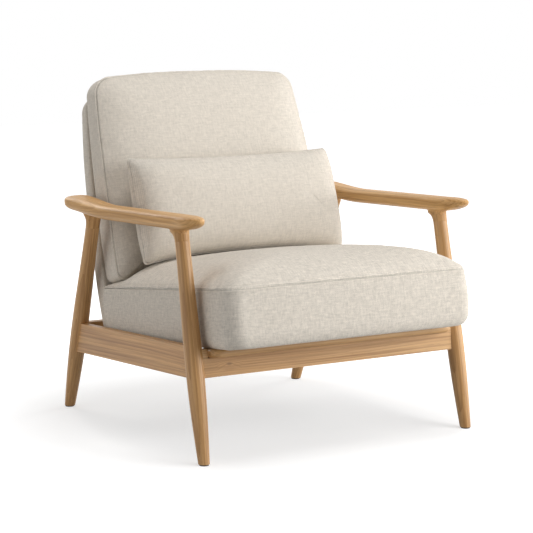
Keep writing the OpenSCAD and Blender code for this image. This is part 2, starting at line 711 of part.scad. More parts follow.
// Back cushion: it stands on the seat cushion and leans on the shell
back_bottom_r = 18;
function back_outline(inset) = outline(back_w / 2, (back_w - back_taper) / 2, back_lift,
    back_lift + back_h, back_bottom_r, back_corner_r, inset,
    [back_arch * max(0, 1 - inset / 240), -5, -9]);
function back_depth(z) = back_t - back_thin * ease((z - back_lift - 150) / 360);
function back_ring(k, inset, rise = 0) = [for (p = back_outline(inset))
    [p[0], -soft_gap - k * back_depth(p[1]) - rise, p[1]]];
back_insets = [5, 14, 28, 48, 76, 112, 156, 204];
module back_cushion() {
    swell = boxing_swell * 0.7;
    color(LINEN) difference() {
        back_frame() loft(concat(
            [back_ring(0, 150), back_ring(0, 12), back_ring(0.03, 5), back_ring(0.1, 1)],
            [for (k = [0.25, 0.45, 0.65, 0.85]) back_ring(k, -swell * sin(180 * k))],
            [back_ring(1, 0)],
            [for (d = back_insets) back_ring(1, d, back_crown * crown(d, back_h / 2 - 10))]));
        back_foam_block(joint_gap);
    }
}
module back_foam_block(grow = 0) {
    back_frame() translate([0, -12 + grow, 0]) rotate([90, 0, 0])
        linear_extrude(back_t - back_thin - 24 + 2 * grow) polygon(back_outline(foam_inset - grow));
}
module back_foam() {
    color("ivory") back_foam_block();
}

// Lumbar pillow: two crowned faces that meet in a knife edge, over a loose filling
pillow_stand = 78.9;
pillow_y = back_y - pillow_stand;
pillow_z = back_z + seat_boxing + seat_crown + pillow_h / 2 * cos(pillow_lean) + 1.5;
pillow_arch = 23;
filling_side = 65;
filling_edge = 46;
filling_half_t = 36;
function pillow_outline(inset) = outline(pillow_w / 2, pillow_w / 2, -pillow_h / 2, pillow_h / 2,
    7, 7, inset, [pillow_arch * max(0, 1 - inset / 90), 3, 8 * max(0, 1 - inset / 60)]);
function pillow_ring(inset, rise) = [for (p = pillow_outline(inset)) [p[0], -rise, p[1]]];
function pillow_rise(inset, full) = full * crown(inset, pillow_h / 2 - 6, 2.6, 0.62);
pillow_insets = [3, 9, 20, 35, 55, 80, 108];
module pillow_frame() {
    translate([0, pillow_y, pillow_z]) rotate([-pillow_lean, 0, 0]) children();
}
module lumbar_pillow() {
    color(LINEN) pillow_frame() difference() {
        loft(concat(
            [for (d = reversed(pillow_insets)) pillow_ring(d, -pillow_rise(d, pillow_rear))],
            [pillow_ring(0, 0)],
            [for (d = pillow_insets) pillow_ring(d, pillow_rise(d, pillow_front))]));
        pillow_core(joint_gap);
    }
}
module pillow_core(grow = 0) {
    half_h = pillow_h / 2 - filling_edge + grow;
    half_t = filling_half_t + grow;
    translate([0, -4, 0]) rotate([0, 90, 0])
        linear_extrude(pillow_w - 2 * filling_side + 2 * grow, center = true)
            polygon([for (i = [0 : 31]) let (t = 360 * i / 32) [half_h * cos(t), half_t * sin(t)]]);
}
module pillow_filling() {
    color("ivory") pillow_frame() pillow_core();
}

// The chair's middle, front to back, is put at the origin
front_reach = min([for (r = seat_rings) for (p = r)
    nosing_y + p[1] * cos(seat_pitch) + p[2] * sin(seat_pitch)]);
rear_reach = max([for (r = shell_rings) for (p = r)
    back_y + p[1] * cos(recline) + p[2] * sin(recline)]);
middle_y = (front_reach + rear_reach) / 2;
translate([0, -middle_y, 0]) {
    front_leg(LEFT);  // front_leg_left
    front_leg(RIGHT);  // front_leg_right
    rear_leg(LEFT);  // rear_leg_left
    rear_leg(RIGHT);  // rear_leg_right
    armrest(LEFT);  // armrest_left
    armrest(RIGHT);  // armrest_right
    side_rail(LEFT);  // side_rail_left
    side_rail(RIGHT);  // side_rail_right
    front_rail();
    rear_rail();
    seat_nosing();
    seat_batten(LEFT);  // seat_batten_left
    seat_batten(RIGHT);  // seat_batten_right
    webbing_straps();
    corner_blocks();
    corner_screws();
    back_mounting_blocks();
    back_bolts();
    back_panel();
    back_shell();
    back_cushion();
    back_foam();
    seat_cushion();
    seat_foam();
    lumbar_pillow();
    pillow_filling();
    foot_glides();
}
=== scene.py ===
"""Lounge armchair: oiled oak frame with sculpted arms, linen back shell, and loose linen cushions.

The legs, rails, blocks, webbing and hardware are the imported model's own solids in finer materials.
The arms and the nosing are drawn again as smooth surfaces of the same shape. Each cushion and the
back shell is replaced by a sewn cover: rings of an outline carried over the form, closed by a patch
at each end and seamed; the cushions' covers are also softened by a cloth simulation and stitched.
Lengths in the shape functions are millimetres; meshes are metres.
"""
import math
import bmesh
import bpy
import numpy as np
from mathutils import Euler, Matrix, Vector


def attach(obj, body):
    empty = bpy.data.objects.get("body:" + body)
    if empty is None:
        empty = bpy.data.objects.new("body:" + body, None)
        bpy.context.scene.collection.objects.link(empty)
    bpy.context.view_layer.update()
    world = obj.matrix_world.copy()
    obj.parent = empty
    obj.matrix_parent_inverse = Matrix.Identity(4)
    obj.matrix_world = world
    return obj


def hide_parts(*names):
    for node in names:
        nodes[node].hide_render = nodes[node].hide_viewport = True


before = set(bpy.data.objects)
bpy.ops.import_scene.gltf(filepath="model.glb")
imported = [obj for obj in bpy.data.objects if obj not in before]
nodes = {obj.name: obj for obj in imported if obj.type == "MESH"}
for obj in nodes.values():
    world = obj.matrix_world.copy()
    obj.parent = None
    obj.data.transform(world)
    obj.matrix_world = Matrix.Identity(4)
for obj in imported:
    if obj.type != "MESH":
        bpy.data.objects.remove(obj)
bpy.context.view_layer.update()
scene = bpy.context.scene


# ---- helpers for numbers and meshes

def ease(t):
    """Smooth step: 3t^2 - 2t^3 with t held between 0 and 1."""
    t = np.clip(t, 0.0, 1.0)
    return t * t * (3 - 2 * t)


def tilted(points, turn, at):
    """Points in a sloping frame to chair coordinates: turned about X by -turn, then moved to at."""
    a = math.radians(turn)
    x, y, z = np.moveaxis(np.asarray(points, float), -1, 0)
    return np.stack([x + at[0], at[1] + y * math.cos(a) + z * math.sin(a),
                     at[2] - y * math.sin(a) + z * math.cos(a)], -1)


def put(name, data):
    """New object in the scene from a mesh, a lamp or a camera."""
    obj = bpy.data.objects.new(name, data)
    scene.collection.objects.link(obj)
    return obj


def make_mesh(name, points, faces, uv=None):
    """Mesh object from points in millimetres and quads or triangles, with one UV per face corner."""
    mesh = bpy.data.meshes.new(name)
    faces = np.asarray(faces)
    mesh.from_pydata((np.asarray(points, float) * 0.001).tolist(), [], faces.tolist())
    if uv is not None:
        layer = mesh.uv_layers.new(name="cloth")
        layer.data.foreach_set("uv", (np.asarray(uv, float).reshape(-1, 2) * 0.001).ravel())
    mesh.polygons.foreach_set("use_smooth", np.full(len(mesh.polygons), True))
    mesh.validate()
    mesh.update()
    return put(name, mesh)


def point_values(obj, name, values):
    """Writes a named number, or a named vector, for each point of a mesh."""
    flat = np.ndim(values) == 1
    layer = obj.data.attributes.new(name, "FLOAT" if flat else "FLOAT_VECTOR", "POINT")
    layer.data.foreach_set("value" if flat else "vector", values.ravel())


def tube_faces(rows, count):
    """Quads between rings that close on themselves."""
    i, j = np.meshgrid(np.arange(rows - 1), np.arange(count), indexing="ij")
    k = (j + 1) % count
    return np.stack([i * count + j, i * count + k, (i + 1) * count + k, (i + 1) * count + j],
                    -1).reshape(-1, 4)


def grid_quads(grid):
    """Quads of a grid of point numbers."""
    return np.stack([grid[:-1, :-1], grid[1:, :-1], grid[1:, 1:], grid[:-1, 1:]], -1).reshape(-1, 4)


def closed_quads(rows, count, grids, turned=False):
    """Quads of rings closed by a grid at each end, facing the other way if turned."""
    first, last = (grid_quads(grid) for grid in grids)
    quads = np.concatenate([tube_faces(rows, count), first[:, ::-1], last])
    return quads[:, ::-1] if turned else quads


def quad_normals(points, quads):
    """Normal of each quad, twice as long as its area."""
    a, b, c, d = (points[quads[:, i]] for i in range(4))
    return np.cross(c - a, d - b)


def volume(points, quads):
    """Signed volume inside closed quads: the sum of middle . normal / 6."""
    return (points[quads].mean(1) * quad_normals(points, quads)).sum() / 6


def gathered(quads, values, count):
    """Sum at each of count points of the values of the quads that meet there."""
    total = np.zeros((count, *values.shape[1:]))
    for i in range(4):
        np.add.at(total, quads[:, i], values)
    return total


def point_normals(points, quads):
    """Unit normal at each point: the sum of the normals of the quads that meet there."""
    total = gathered(quads, quad_normals(points, quads), len(points))
    return total / np.maximum(np.linalg.norm(total, axis=1, keepdims=True), 1e-9)


def way_round(loop):
    """Distance along a closed loop to each of its points and back to the first."""
    return np.concatenate([[0], np.cumsum(np.linalg.norm(np.roll(loop, -1, 0) - loop, axis=1))])


def waves(s, length, seed, shortest, longest, count=9):
    """Smooth uneven line: sines of the way s round a loop, whole numbers of waves, random phases."""
    rng = np.random.default_rng(seed)
    turns = np.round(length / rng.uniform(shortest, longest, count))
    phase = rng.uniform(0, 2 * np.pi, count)
    size = rng.uniform(0.5, 1.0, count)
    total = (size * np.sin(2 * np.pi * turns * (s[..., None] / length) + phase)).sum(-1)
    return total / size.sum() * 2


# ---- materials

def linear(r, g, b):
    """Colour written in 0-255 screen values, as the shader's linear values."""
    c = np.array([r, g, b]) / 255
    return tuple(np.where(c <= 0.04045, c / 12.92, ((c + 0.055) / 1.055) ** 2.4)) + (1.0,)


class Nodes:
    """Short names for adding shader nodes to a material or a world. A value that is a socket is
    joined by a link; any other value is written on the socket."""

    def __init__(self, owner):
        owner.use_nodes = True
        self.owner, self.tree = owner, owner.node_tree
        self.tree.nodes.clear()

    def add(self, kind, values=None, **settings):
        node = self.tree.nodes.new("ShaderNode" + kind)
        for key, value in settings.items():
            setattr(node, key, value)
        for key, value in (values or {}).items():
            if isinstance(value, bpy.types.NodeSocket):
                self.tree.links.new(value, node.inputs[key])
            else:
                node.inputs[key].default_value = value
        return node

    def math(self, operation, a, b=0.0, c=0.0):
        return self.add("Math", {0: a, 1: b, 2: c}, operation=operation).outputs[0]

    def times(self, a, b):
        return self.math("MULTIPLY", a, b)

    def plus(self, a, b):
        return self.math("ADD", a, b)

    def vector(self, operation, values):
        return self.add("VectorMath", values, operation=operation).outputs

    def mix(self, factor, a, b):
        return self.add("Mix", {"Factor": factor, 6: a, 7: b}, data_type="RGBA").outputs[2]

    def noise(self, vector, scale, detail=2.0, roughness=0.5):
        return self.add("TexNoise", {"Scale": scale, "Detail": detail, "Roughness": roughness,
                                     "Vector": vector}).outputs["Fac"]

    def grain(self, vector, scale, detail=2.0, roughness=0.5, move=(0, 0, 0)):
        """Noise with its own scale along each axis."""
        return self.noise(self.mapped(vector, scale, move=move), 1.0, detail, roughness)

    def spread(self, value, low, high, to_low=0.0, to_high=1.0):
        return self.add("MapRange", {"Value": value, "From Min": low, "From Max": high,
                                     "To Min": to_low, "To Max": to_high}).outputs["Result"]

    def mapped(self, vector, scale=(1, 1, 1), turn=(0, 0, 0), move=(0, 0, 0)):
        return self.add("Mapping", {"Vector": vector, "Scale": scale, "Rotation": turn,
                                    "Location": move}).outputs["Vector"]

    def place(self):
        return self.add("TexCoord").outputs["Object"]

    def attribute(self, name, output="Fac"):
        return self.add("Attribute", attribute_name=name).outputs[output]

    def finish(self, shader):
        self.add("OutputMaterial", {"Surface": shader})
        return self.owner

    def surface(self, colour, rough, height, strength, distance, more=None):
        """Finished material: colour, roughness, bump and any more of the shader's values."""
        bump = self.add("Bump", {"Height": height, "Strength": strength, "Distance": distance})
        return self.finish(self.add("BsdfPrincipled", {
            "Base Color": colour, "Roughness": rough, "Normal": bump.outputs["Normal"],
            **(more or {})}).outputs["BSDF"])


def new_material(name):
    """Empty tree of a new material."""
    return Nodes(bpy.data.materials.new(name))


PALE_OAK = np.array(((216, 176, 126), (192, 150, 99), (142, 102, 59)))
BROWN_OAK = np.array(((200, 149, 92), (170, 121, 67), (118, 76, 38)))
LEG_WARM = 0.3
LINEN = np.array((211, 203, 191))
PITCH = 0.0021
THREAD = np.array((206, 196, 182))


def oak(name, grain=(0, 0, 1), seed=0.0, warm=0.0, marks=1.0, shine=0.35, knot=None, own=False):
    """Oiled oak. Grain runs along the given direction: rings of early and late wood are slices of
    a slowly wandering distance across the board, pores are short dark dashes, and wide soft bands
    and thin streaks change the tone. warm turns a pale rail (0) into a browner turned leg (1) and
    marks is the strength of the lines. A knot at a place bends the rings round a small dark eye. A
    sculpted part has its own board coordinates, which bend with it, a yellower tone and a neck in
    the legs' tone."""
    n = new_material(name)
    turn = Vector(grain).normalized().rotation_difference(Vector((0, 0, 1))).to_euler()
    place = n.attribute("board", "Vector") if own else n.place()
    board = n.mapped(place, turn=tuple(turn), move=(seed * 1.7, seed * 0.9, seed * 2.3))
    across = n.add("SeparateXYZ", {"Vector": board}).outputs
    depth = n.plus(across["X"], n.times(across["Y"], 0.55))
    depth = n.plus(depth, n.times(n.grain(board, (5, 5, 0.9)), 0.045))
    depth = n.plus(depth, n.times(n.grain(board, (30, 30, 1.7)), 0.006))
    if knot:
        near = n.vector("SUBTRACT", {0: place, 1: knot})[0]
        near = n.vector("MULTIPLY", {0: near, 1: (0.42, 0.2, 1.0)})[0]
        reach = n.vector("LENGTH", {0: near})["Value"]
        depth = n.plus(depth, n.times(n.spread(reach, 0.016, 0.0), 0.012))
    ring = n.math("FRACT", n.times(depth, 190.0))
    late = n.math("POWER", ring, 2.0)
    bands = n.grain(board, (38, 38, 1.3), 3.0, 0.6)
    streak = n.grain(board, (150, 150, 2.4), 3.0, 0.6)
    fibre = n.grain(board, (640, 640, 9), 3.0, 0.65)
    pores = n.spread(n.grain(board, (900, 900, 34)), 0.60, 0.72)
    pores = n.times(pores, n.spread(ring, 0.45, 0.0, 0.25, 1.0))
    tones = (PALE_OAK + (BROWN_OAK - PALE_OAK) * warm) * ((1.04, 1.025, 0.975) if own else 1)
    light, mid, dark = (linear(*tone) for tone in tones)
    if own:
        neck = n.attribute("neck")
        low = PALE_OAK + (BROWN_OAK - PALE_OAK) * LEG_WARM
        light, mid, dark = (n.mix(neck, tone, linear(*plain))
                            for tone, plain in zip((light, mid, dark), low))
    colour = n.mix(n.spread(bands, 0.36, 0.64), mid, light)
    for share, tone in (
            (n.times(late, n.spread(bands, 0.3, 0.7, 0.5 * marks, 0.22 * marks)), dark),
            (n.times(n.spread(streak, 0.46, 0.72), 0.55 * marks), dark),
            (n.times(n.spread(streak, 0.44, 0.28), 0.30 * marks), light),
            (n.times(n.spread(fibre, 0.42, 0.75), 0.26), dark),
            (n.times(pores, 0.5), linear(112, 78, 46))):
        colour = n.mix(share, colour, tone)
    if knot:
        colour = n.mix(n.times(n.spread(reach, 0.0042, 0.0016), 0.6), colour, linear(96, 64, 38))
    height = n.math("SUBTRACT", n.times(fibre, 0.35), n.times(pores, 0.7))
    rough = n.spread(n.plus(late, fibre), 0.2, 1.4, 0.35, 0.47)
    return n.surface(colour, rough, height, 0.25, 0.0004, {
        "Specular IOR Level": shine, "Coat Weight": 0.05, "Coat Roughness": 0.3})


def linen(name, seed=0.0, line=0.34, weave=1.0):
    """Plain-woven linen on the cover's own UV, in metres. Warp and weft cross in a chequer of raised
    threads; each thread has its own lightness, with slubs that run along it for a centimetre or
    two. line is how dark the painted shade along the bottom of the seams is. weave is the contrast."""
    n = new_material(name)
    cloth = n.mapped(n.add("UVMap", uv_map="cloth").outputs["UV"], move=(seed, seed * 0.7, 0))
    waver = n.add("TexNoise", {"Scale": 45.0, "Detail": 2.0, "Vector": cloth}).outputs["Color"]
    shift = n.vector("SUBTRACT", {0: waver, 1: (0.5, 0.5, 0.5)})[0]
    shift = n.vector("SCALE", {0: shift, "Scale": 0.003})[0]
    place = n.vector("ADD", {0: cloth, 1: shift})[0]
    uv = n.add("SeparateXYZ", {"Vector": place}).outputs
    cross = n.times(*(n.math("SINE", n.times(uv[axis], math.pi / PITCH)) for axis in "XY"))
    hump = n.math("POWER", n.math("ABSOLUTE", cross), 0.55)
    warp = n.grain(place, (0.5 / PITCH, 60, 1), 3.0, 0.6)
    weft = n.grain(place, (52, 0.5 / PITCH, 1), 3.0, 0.6, (7.3, 2.1, 0))
    slubs = n.plus(n.grain(place, (150, 12, 1)), n.grain(place, (14, 170, 1), move=(3.7, 5.2, 0)))
    thread = n.mix(n.spread(cross, -0.25, 0.25), n.spread(weft, 0.3, 0.7), n.spread(warp, 0.3, 0.7))
    level = n.math("MULTIPLY_ADD", thread, 0.34, 0.13)
    for value, share in ((hump, 0.36), (slubs, 0.05), (n.grain(cloth, (7, 7, 1)), 0.04)):
        level = n.math("MULTIPLY_ADD", value, share, level)
    pale = linear(*np.minimum(LINEN * (1 + 0.11 * weave), 252))
    deep = linear(*(LINEN * (1 - 0.2 * weave)))
    colour = n.mix(n.spread(level, 0.15, 0.9), deep, pale)
    # painted shade: the colour darkens towards LINEN * 0.42 along the bottom of each seam
    colour = n.mix(n.times(n.attribute("seam_shade"), line), colour, linear(*(LINEN * 0.42)))
    height = n.math("MULTIPLY_ADD", thread, 0.5, hump)
    return n.surface(colour, 0.92, height, 0.5, 0.0006, {
        "Specular IOR Level": 0.18, "Sheen Weight": 0.18, "Sheen Roughness": 0.55,
        "Sheen Tint": linear(255, 250, 242)})


def thread(name):
    """Sewing thread: plain colour with a fine twist in its bump."""
    n = new_material(name)
    twist = n.noise(n.place(), 1400.0, 1.0)
    return n.surface(n.mix(twist, linear(*(THREAD * 0.92)), linear(*THREAD)), 0.7, twist, 0.3, 0.0002)


def plywood(name):
    """Birch plywood and softwood blocks: paler than the oak, with thin layers across its height."""
    n = new_material(name)
    place = n.place()
    z = n.add("SeparateXYZ", {"Vector": place}).outputs["Z"]
    layer = n.math("GREATER_THAN", n.math("FRACT", n.times(z, 320.0)), 0.5)
    fibre = n.grain(place, (60, 4, 300), 3.0)
    colour = n.mix(n.spread(fibre, 0.3, 0.7), linear(196, 166, 126), linear(222, 198, 160))
    colour = n.mix(n.times(layer, 0.22), colour, linear(160, 122, 82))
    return n.surface(colour, 0.72, fibre, 0.2, 0.0003)


def webbing(name):
    """Elastic webbing: a herringbone of dark and rust-coloured yarn in object space."""
    n = new_material(name)
    p = n.add("SeparateXYZ", {"Vector": n.place()}).outputs
    zig = n.math("PINGPONG", n.times(p["Y"], 180.0), 1.0)
    rib = n.math("FRACT", n.plus(n.times(p["X"], 420.0), zig))
    rib = n.spread(n.math("ABSOLUTE", n.math("SUBTRACT", rib, 0.5)), 0.05, 0.45)
    return n.surface(n.mix(rib, linear(46, 38, 34), linear(112, 88, 68)), 0.85, rib, 0.5, 0.0005)


def steel(name):
    """Zinc-plated steel with fine turning marks."""
    n = new_material(name)
    marks = n.grain(n.place(), (900, 40, 900))
    return n.surface(n.mix(marks, linear(176, 176, 172), linear(206, 206, 204)),
                     n.spread(marks, 0.3, 0.7, 0.28, 0.42), marks, 0.15, 0.0001, {"Metallic": 1.0})


def plastic(name, colour):
    """Moulded plastic with a slightly pebbled face."""
    n = new_material(name)
    pebble = n.noise(n.place(), 2200.0, 2.0)
    return n.surface(n.mix(pebble, linear(*(np.array(colour) * 0.85)), linear(*colour)),
                     n.spread(pebble, 0.3, 0.7, 0.45, 0.6), pebble, 0.15, 0.0001)


def foam(name):
    """Upholstery foam: cream, with open cells."""
    n = new_material(name)
    cells = n.add("TexVoronoi", {"Vector": n.place(), "Scale": 700.0}).outputs["Distance"]
    colour = n.mix(cells, linear(196, 186, 150), linear(240, 232, 204))
    return n.surface(colour, 0.95, cells, 0.5, 0.0006)


def dress(name, material):
    """Gives a CAD node one material in place of its own."""
    mesh = nodes[name].data
    mesh.materials.clear()
    mesh.materials.append(material)


# ---- measures of the frame

SIDES = {"left": -1, "right": 1}
FOOT = {"front": (358.5, -336.08), "rear": (334.0, 380.85)}
LEAN = {"front": (-12.0, -0.7), "rear": (18.6, 1.2)}
ARM_Y0, ARM_Y1, ARM_X0, ARM_X1 = -220.88, 198.45, 353.38, 353.35
ARM_H, ARM_T, ARM_W, PADDLE_W, NOSE, TAIL = 542.0, 34.0, 57.0, 64.0, 105.0, 121.0
ARM_SLOPE, PADDLE_TILT, PADDLE_RISE, SECTION, VOXEL = 2.1, 3, 15, 0.68, 0.0016
# reach of the rounds at both tips, in width and in thickness, and the tips' drop and turn out
NOSE_W, NOSE_T, TAIL_W, TAIL_T, TIP_DROP, NOSE_OUT = 60, 90, 42, 54, 8, 6
# way up each leg to its neck: the neck's height over the leg's slant; and the gap in that joint
NECK_AT, GAP = {"front": 484.0 / 0.978078, "rear": 470.19 / 0.947582}, 0.1
NECK_R, NECK_H, SIDE_FLARE, FRONT_FLARE = 16.65, 24, 5, 5 / 3
REAR_FLARE = {"front": 19, "rear": 25}


def leg_frame(side, end):
    """Matrix of a leg's own frame: its foot's middle, then the lean and the splay."""
    lean, splay = LEAN[end]
    turn = math.atan(math.tan(math.radians(lean)) * math.cos(math.radians(splay)))
    spin = Euler((turn, math.radians(side * splay), 0), "XYZ").to_matrix().to_4x4()
    x, y = FOOT[end]
    return np.array(Matrix.Translation((side * x, y, 0)) @ spin)


def placed(matrix, points):
    """Points carried into the chair by a 4 x 4 matrix."""
    return points @ matrix[:3, :3].T + matrix[:3, 3]


# ---- sewn covers

# points of a ring: each corner, each side, a quarter of the way round and the whole way
CORNER, SIDE = 24, 72
QUARTER = CORNER + SIDE
LOOP = 4 * QUARTER
BOW = 2.6
# every which point is simulated, in how many steps, and how far that movement is softened
CELL, STEPS, SOFTEN = 3, 20, 13.0
# reach from a seam in millimetres: of its hold on the cloth, its groove, the painted shade in it, the
# lip beside it (place and width), its puckers and its broad folds
HOLD, GROOVE, LINE, LIP_AT, LIP, PUCKER, FOLD = 14, 1.5, 1.3, 3.8, 2, 16, 60


def outline(half0, half1, y0, y1, r0, r1, inset=0.0, pull=(0, 0, 0)):
    """Cushion outline, anticlockwise from the middle of its right corner at y0: straight lines
    between four corner arcs. Each side is moved in by its pull times 1 - |2t - 1|^BOW."""
    a0, a1, h0, h1 = y0 + inset, y1 - inset, half0 - inset, half1 - inset
    room = min(h0, h1, (a1 - a0) / 2) * 0.98
    q0, q1 = min(room, r0 + inset * 0.25), min(room, r1 + inset * 0.25)
    middle = np.array([[h0 - q0, a0 + q0], [h1 - q1, a1 - q1],
                       [q1 - h1, a1 - q1], [q0 - h0, a0 + q0]])
    radius = [q0, q1, q1, q0]
    draw = [pull[1], pull[2], pull[1], pull[0]]
    parts = []
    for k in range(4):
        t = np.radians(90 * (k - 1 + np.linspace(0, 1, CORNER + 1)))
        parts.append(middle[k] + radius[k] * np.stack([np.cos(t), np.sin(t)], 1))
        away = np.array([math.cos(math.pi / 2 * k), math.sin(math.pi / 2 * k)])
        start = middle[k] + radius[k] * away
        stop = middle[(k + 1) % 4] + radius[(k + 1) % 4] * away
        t = np.arange(1, SIDE)[:, None] / SIDE
        parts.append(start + (stop - start) * t - away * draw[k] * (1 - np.abs(2 * t - 1) ** BOW))
    return np.roll(np.concatenate(parts), -CORNER // 2, 0)


def patch(loop):
    """Grid inside a loop: its four sides blended across (a Coons patch). Index 0 runs along the
    first side to the second corner, index 1 from the front side to the rear side."""
    t = np.arange(QUARTER + 1) / QUARTER
    right, rear = loop[np.arange(QUARTER + 1)], loop[2 * QUARTER - np.arange(QUARTER + 1)]
    left = loop[3 * QUARTER - np.arange(QUARTER + 1)]
    front = loop[(3 * QUARTER + np.arange(QUARTER + 1)) % LOOP]
    u, v = t[:, None, None], t[None, :, None]
    flat = (1 - u) * left[None] + u * right[None] + (1 - v) * front[:, None] + v * rear[:, None]
    ends = ((1 - u) * (1 - v) * front[0] + u * (1 - v) * front[-1]
            + (1 - u) * v * rear[0] + u * v * rear[-1])
    return flat - ends


def patch_depth(start, reach):
    """Inset at each place of a patch: start at its edge, growing to reach at its middle."""
    t = np.abs(2 * np.arange(QUARTER + 1) / QUARTER - 1)
    far = (t[:, None] ** 4 + t[None, :] ** 4) ** 0.25
    return start + (reach - start) * np.clip(1 - far, 0, 1)


def lid_grid(rows, which):
    """Point numbers of a cover's first (0) or last (1) patch, its edge being the ring there."""
    inner, row = QUARTER - 1, which * (rows - 1)
    k = np.arange(QUARTER + 1)
    grid = np.zeros((QUARTER + 1, QUARTER + 1), int)
    numbers = np.arange(inner * inner).reshape(inner, inner)
    grid[1:-1, 1:-1] = rows * LOOP + which * inner * inner + numbers
    grid[QUARTER, k] = row * LOOP + k
    grid[k, QUARTER] = row * LOOP + 2 * QUARTER - k
    grid[0, k] = row * LOOP + 3 * QUARTER - k
    grid[k, 0] = row * LOOP + (3 * QUARTER + k) % LOOP
    return grid


class Cover:
    """Closed form of rings that ends in two patches. loops are its rings of LOOP points; first and
    last are (QUARTER + 1) square grids whose edges are the first and the last ring. Boxing lies
    between ring number under and ring number top, where the front or upper panel begins; the rest
    is flat cloth, laid out on two axes."""

    def __init__(self, loops, first, last, axes, under=0, top=0):
        rings = np.stack(loops)
        self.rows, self.top = len(rings), top
        inner = (lid[1:-1, 1:-1].reshape(-1, 3) for lid in (first, last))
        self.points = np.concatenate([rings.reshape(-1, 3), *inner])
        self.quads = closed_quads(self.rows, LOOP, [lid_grid(self.rows, which) for which in (0, 1)])
        run = np.linalg.norm(np.diff(rings, axis=0), axis=2)
        self.down = np.concatenate([np.zeros((1, LOOP)), np.cumsum(run, 0)])
        self.uv = self.points[self.quads][..., list(axes)]
        self.lay_boxing(rings, under)
        self.turned = volume(self.points, self.quads) < 0
        if self.turned:
            self.quads, self.uv = self.quads[:, ::-1], self.uv[:, ::-1]

    def lay_boxing(self, rings, under):
        """UV of the boxing's face corners: the way round and the way down."""
        across, down = way_round(rings[self.rows // 2]), self.down.mean(1)
        mine = np.arange(under * LOOP, self.top * LOOP)
        i, j = np.divmod(mine, LOOP)
        self.uv[mine] = np.stack([np.stack([across[j], across[j + 1], across[j + 1], across[j]], -1),
                                  np.stack([down[i], down[i], down[i + 1], down[i + 1]], -1)], -1)


def near_mean(points, rest, moved, quads, reach):
    """Movement at each point: the mean of the cloth's movements around it, weighted by a bell curve
    of their distance and by the cloth's area at each."""
    area = gathered(quads, np.linalg.norm(quad_normals(rest, quads), axis=1) / 8, len(rest))
    rest, area = rest.astype(np.float32), area.astype(np.float32)
    both = np.concatenate([moved, np.ones((len(moved), 1))], 1).astype(np.float32) * area[:, None]
    found = []
    size = (rest ** 2).sum(1)[None]
    for part in np.array_split(points.astype(np.float32), len(points) // 400 + 1):
        far = (2 * part) @ rest.T
        far -= size
        far -= (part ** 2).sum(1)[:, None]
        far /= np.float32(2 * reach ** 2)
        total = np.exp(far, out=far) @ both
        found.append(total[:, :3] / np.maximum(total[:, 3:], 1e-6))
    return np.concatenate(found).astype(float)


def cloth_move(cover, free, pressure, shrink, cap):
    """Cloth simulation of every second ring of the cover and every third point along it, with its
    seams held. Returns how far each point of the full cover moves, no further than cap and softened
    over its neighbours. free is 0 where a point is held and 1 where it is loose."""
    if cap == 0:
        return np.zeros_like(cover.points)
    free[cover.top * LOOP:(cover.top + 1) * LOOP] = 0
    rows = np.array(sorted(set(range(0, cover.rows, 2)) | {cover.rows - 1, cover.top}))
    columns = np.arange(0, LOOP, CELL)
    k = np.arange(0, QUARTER + 1, CELL)
    grids = [lid_grid(cover.rows, which)[np.ix_(k, k)] for which in (0, 1)]
    chosen = np.concatenate([(rows[:, None] * LOOP + columns).ravel(),
                             *(grid[1:-1, 1:-1].ravel() for grid in grids)])
    index = -np.ones(len(cover.points), int)
    index[chosen] = np.arange(len(chosen))
    quads = closed_quads(len(rows), len(columns), [index[grid] for grid in grids], cover.turned)
    rest = cover.points[chosen]
    cloth = make_mesh("loose_cloth", rest, quads)
    group = cloth.vertex_groups.new(name="held")
    group.add(np.flatnonzero(free[chosen] < 0.5).tolist(), 1.0, "REPLACE")
    made = cloth.modifiers.new("cloth", "CLOTH")
    for key, value in dict(
            quality=6, mass=0.25, tension_stiffness=25, compression_stiffness=25, shear_stiffness=6,
            bending_stiffness=4.0, use_pressure=True, uniform_pressure_force=pressure,
            vertex_group_mass="held", pin_stiffness=1.0, shrink_min=shrink).items():
        setattr(made.settings, key, value)
    made.settings.effector_weights.gravity = 0
    made.collision_settings.use_collision = False
    made.point_cache.frame_start, made.point_cache.frame_end = 1, STEPS
    for step in range(1, STEPS + 1):
        scene.frame_set(step)
    shown = cloth.evaluated_get(bpy.context.evaluated_depsgraph_get()).to_mesh()
    after = np.zeros(len(rest) * 3)
    shown.vertices.foreach_get("co", after)
    after = after.reshape(-1, 3) * 1000
    scene.frame_set(1)
    bpy.data.objects.remove(cloth)
    moved = after - rest
    size = np.linalg.norm(moved, axis=1, keepdims=True)
    moved *= np.minimum(1, cap / np.maximum(size, 1e-6))
    loose = free > 0.01
    found = np.zeros_like(cover.points)
    moved *= free[chosen][:, None]
    found[loose] = near_mean(cover.points[loose], rest, moved, quads, SOFTEN)
    return found * free[:, None]


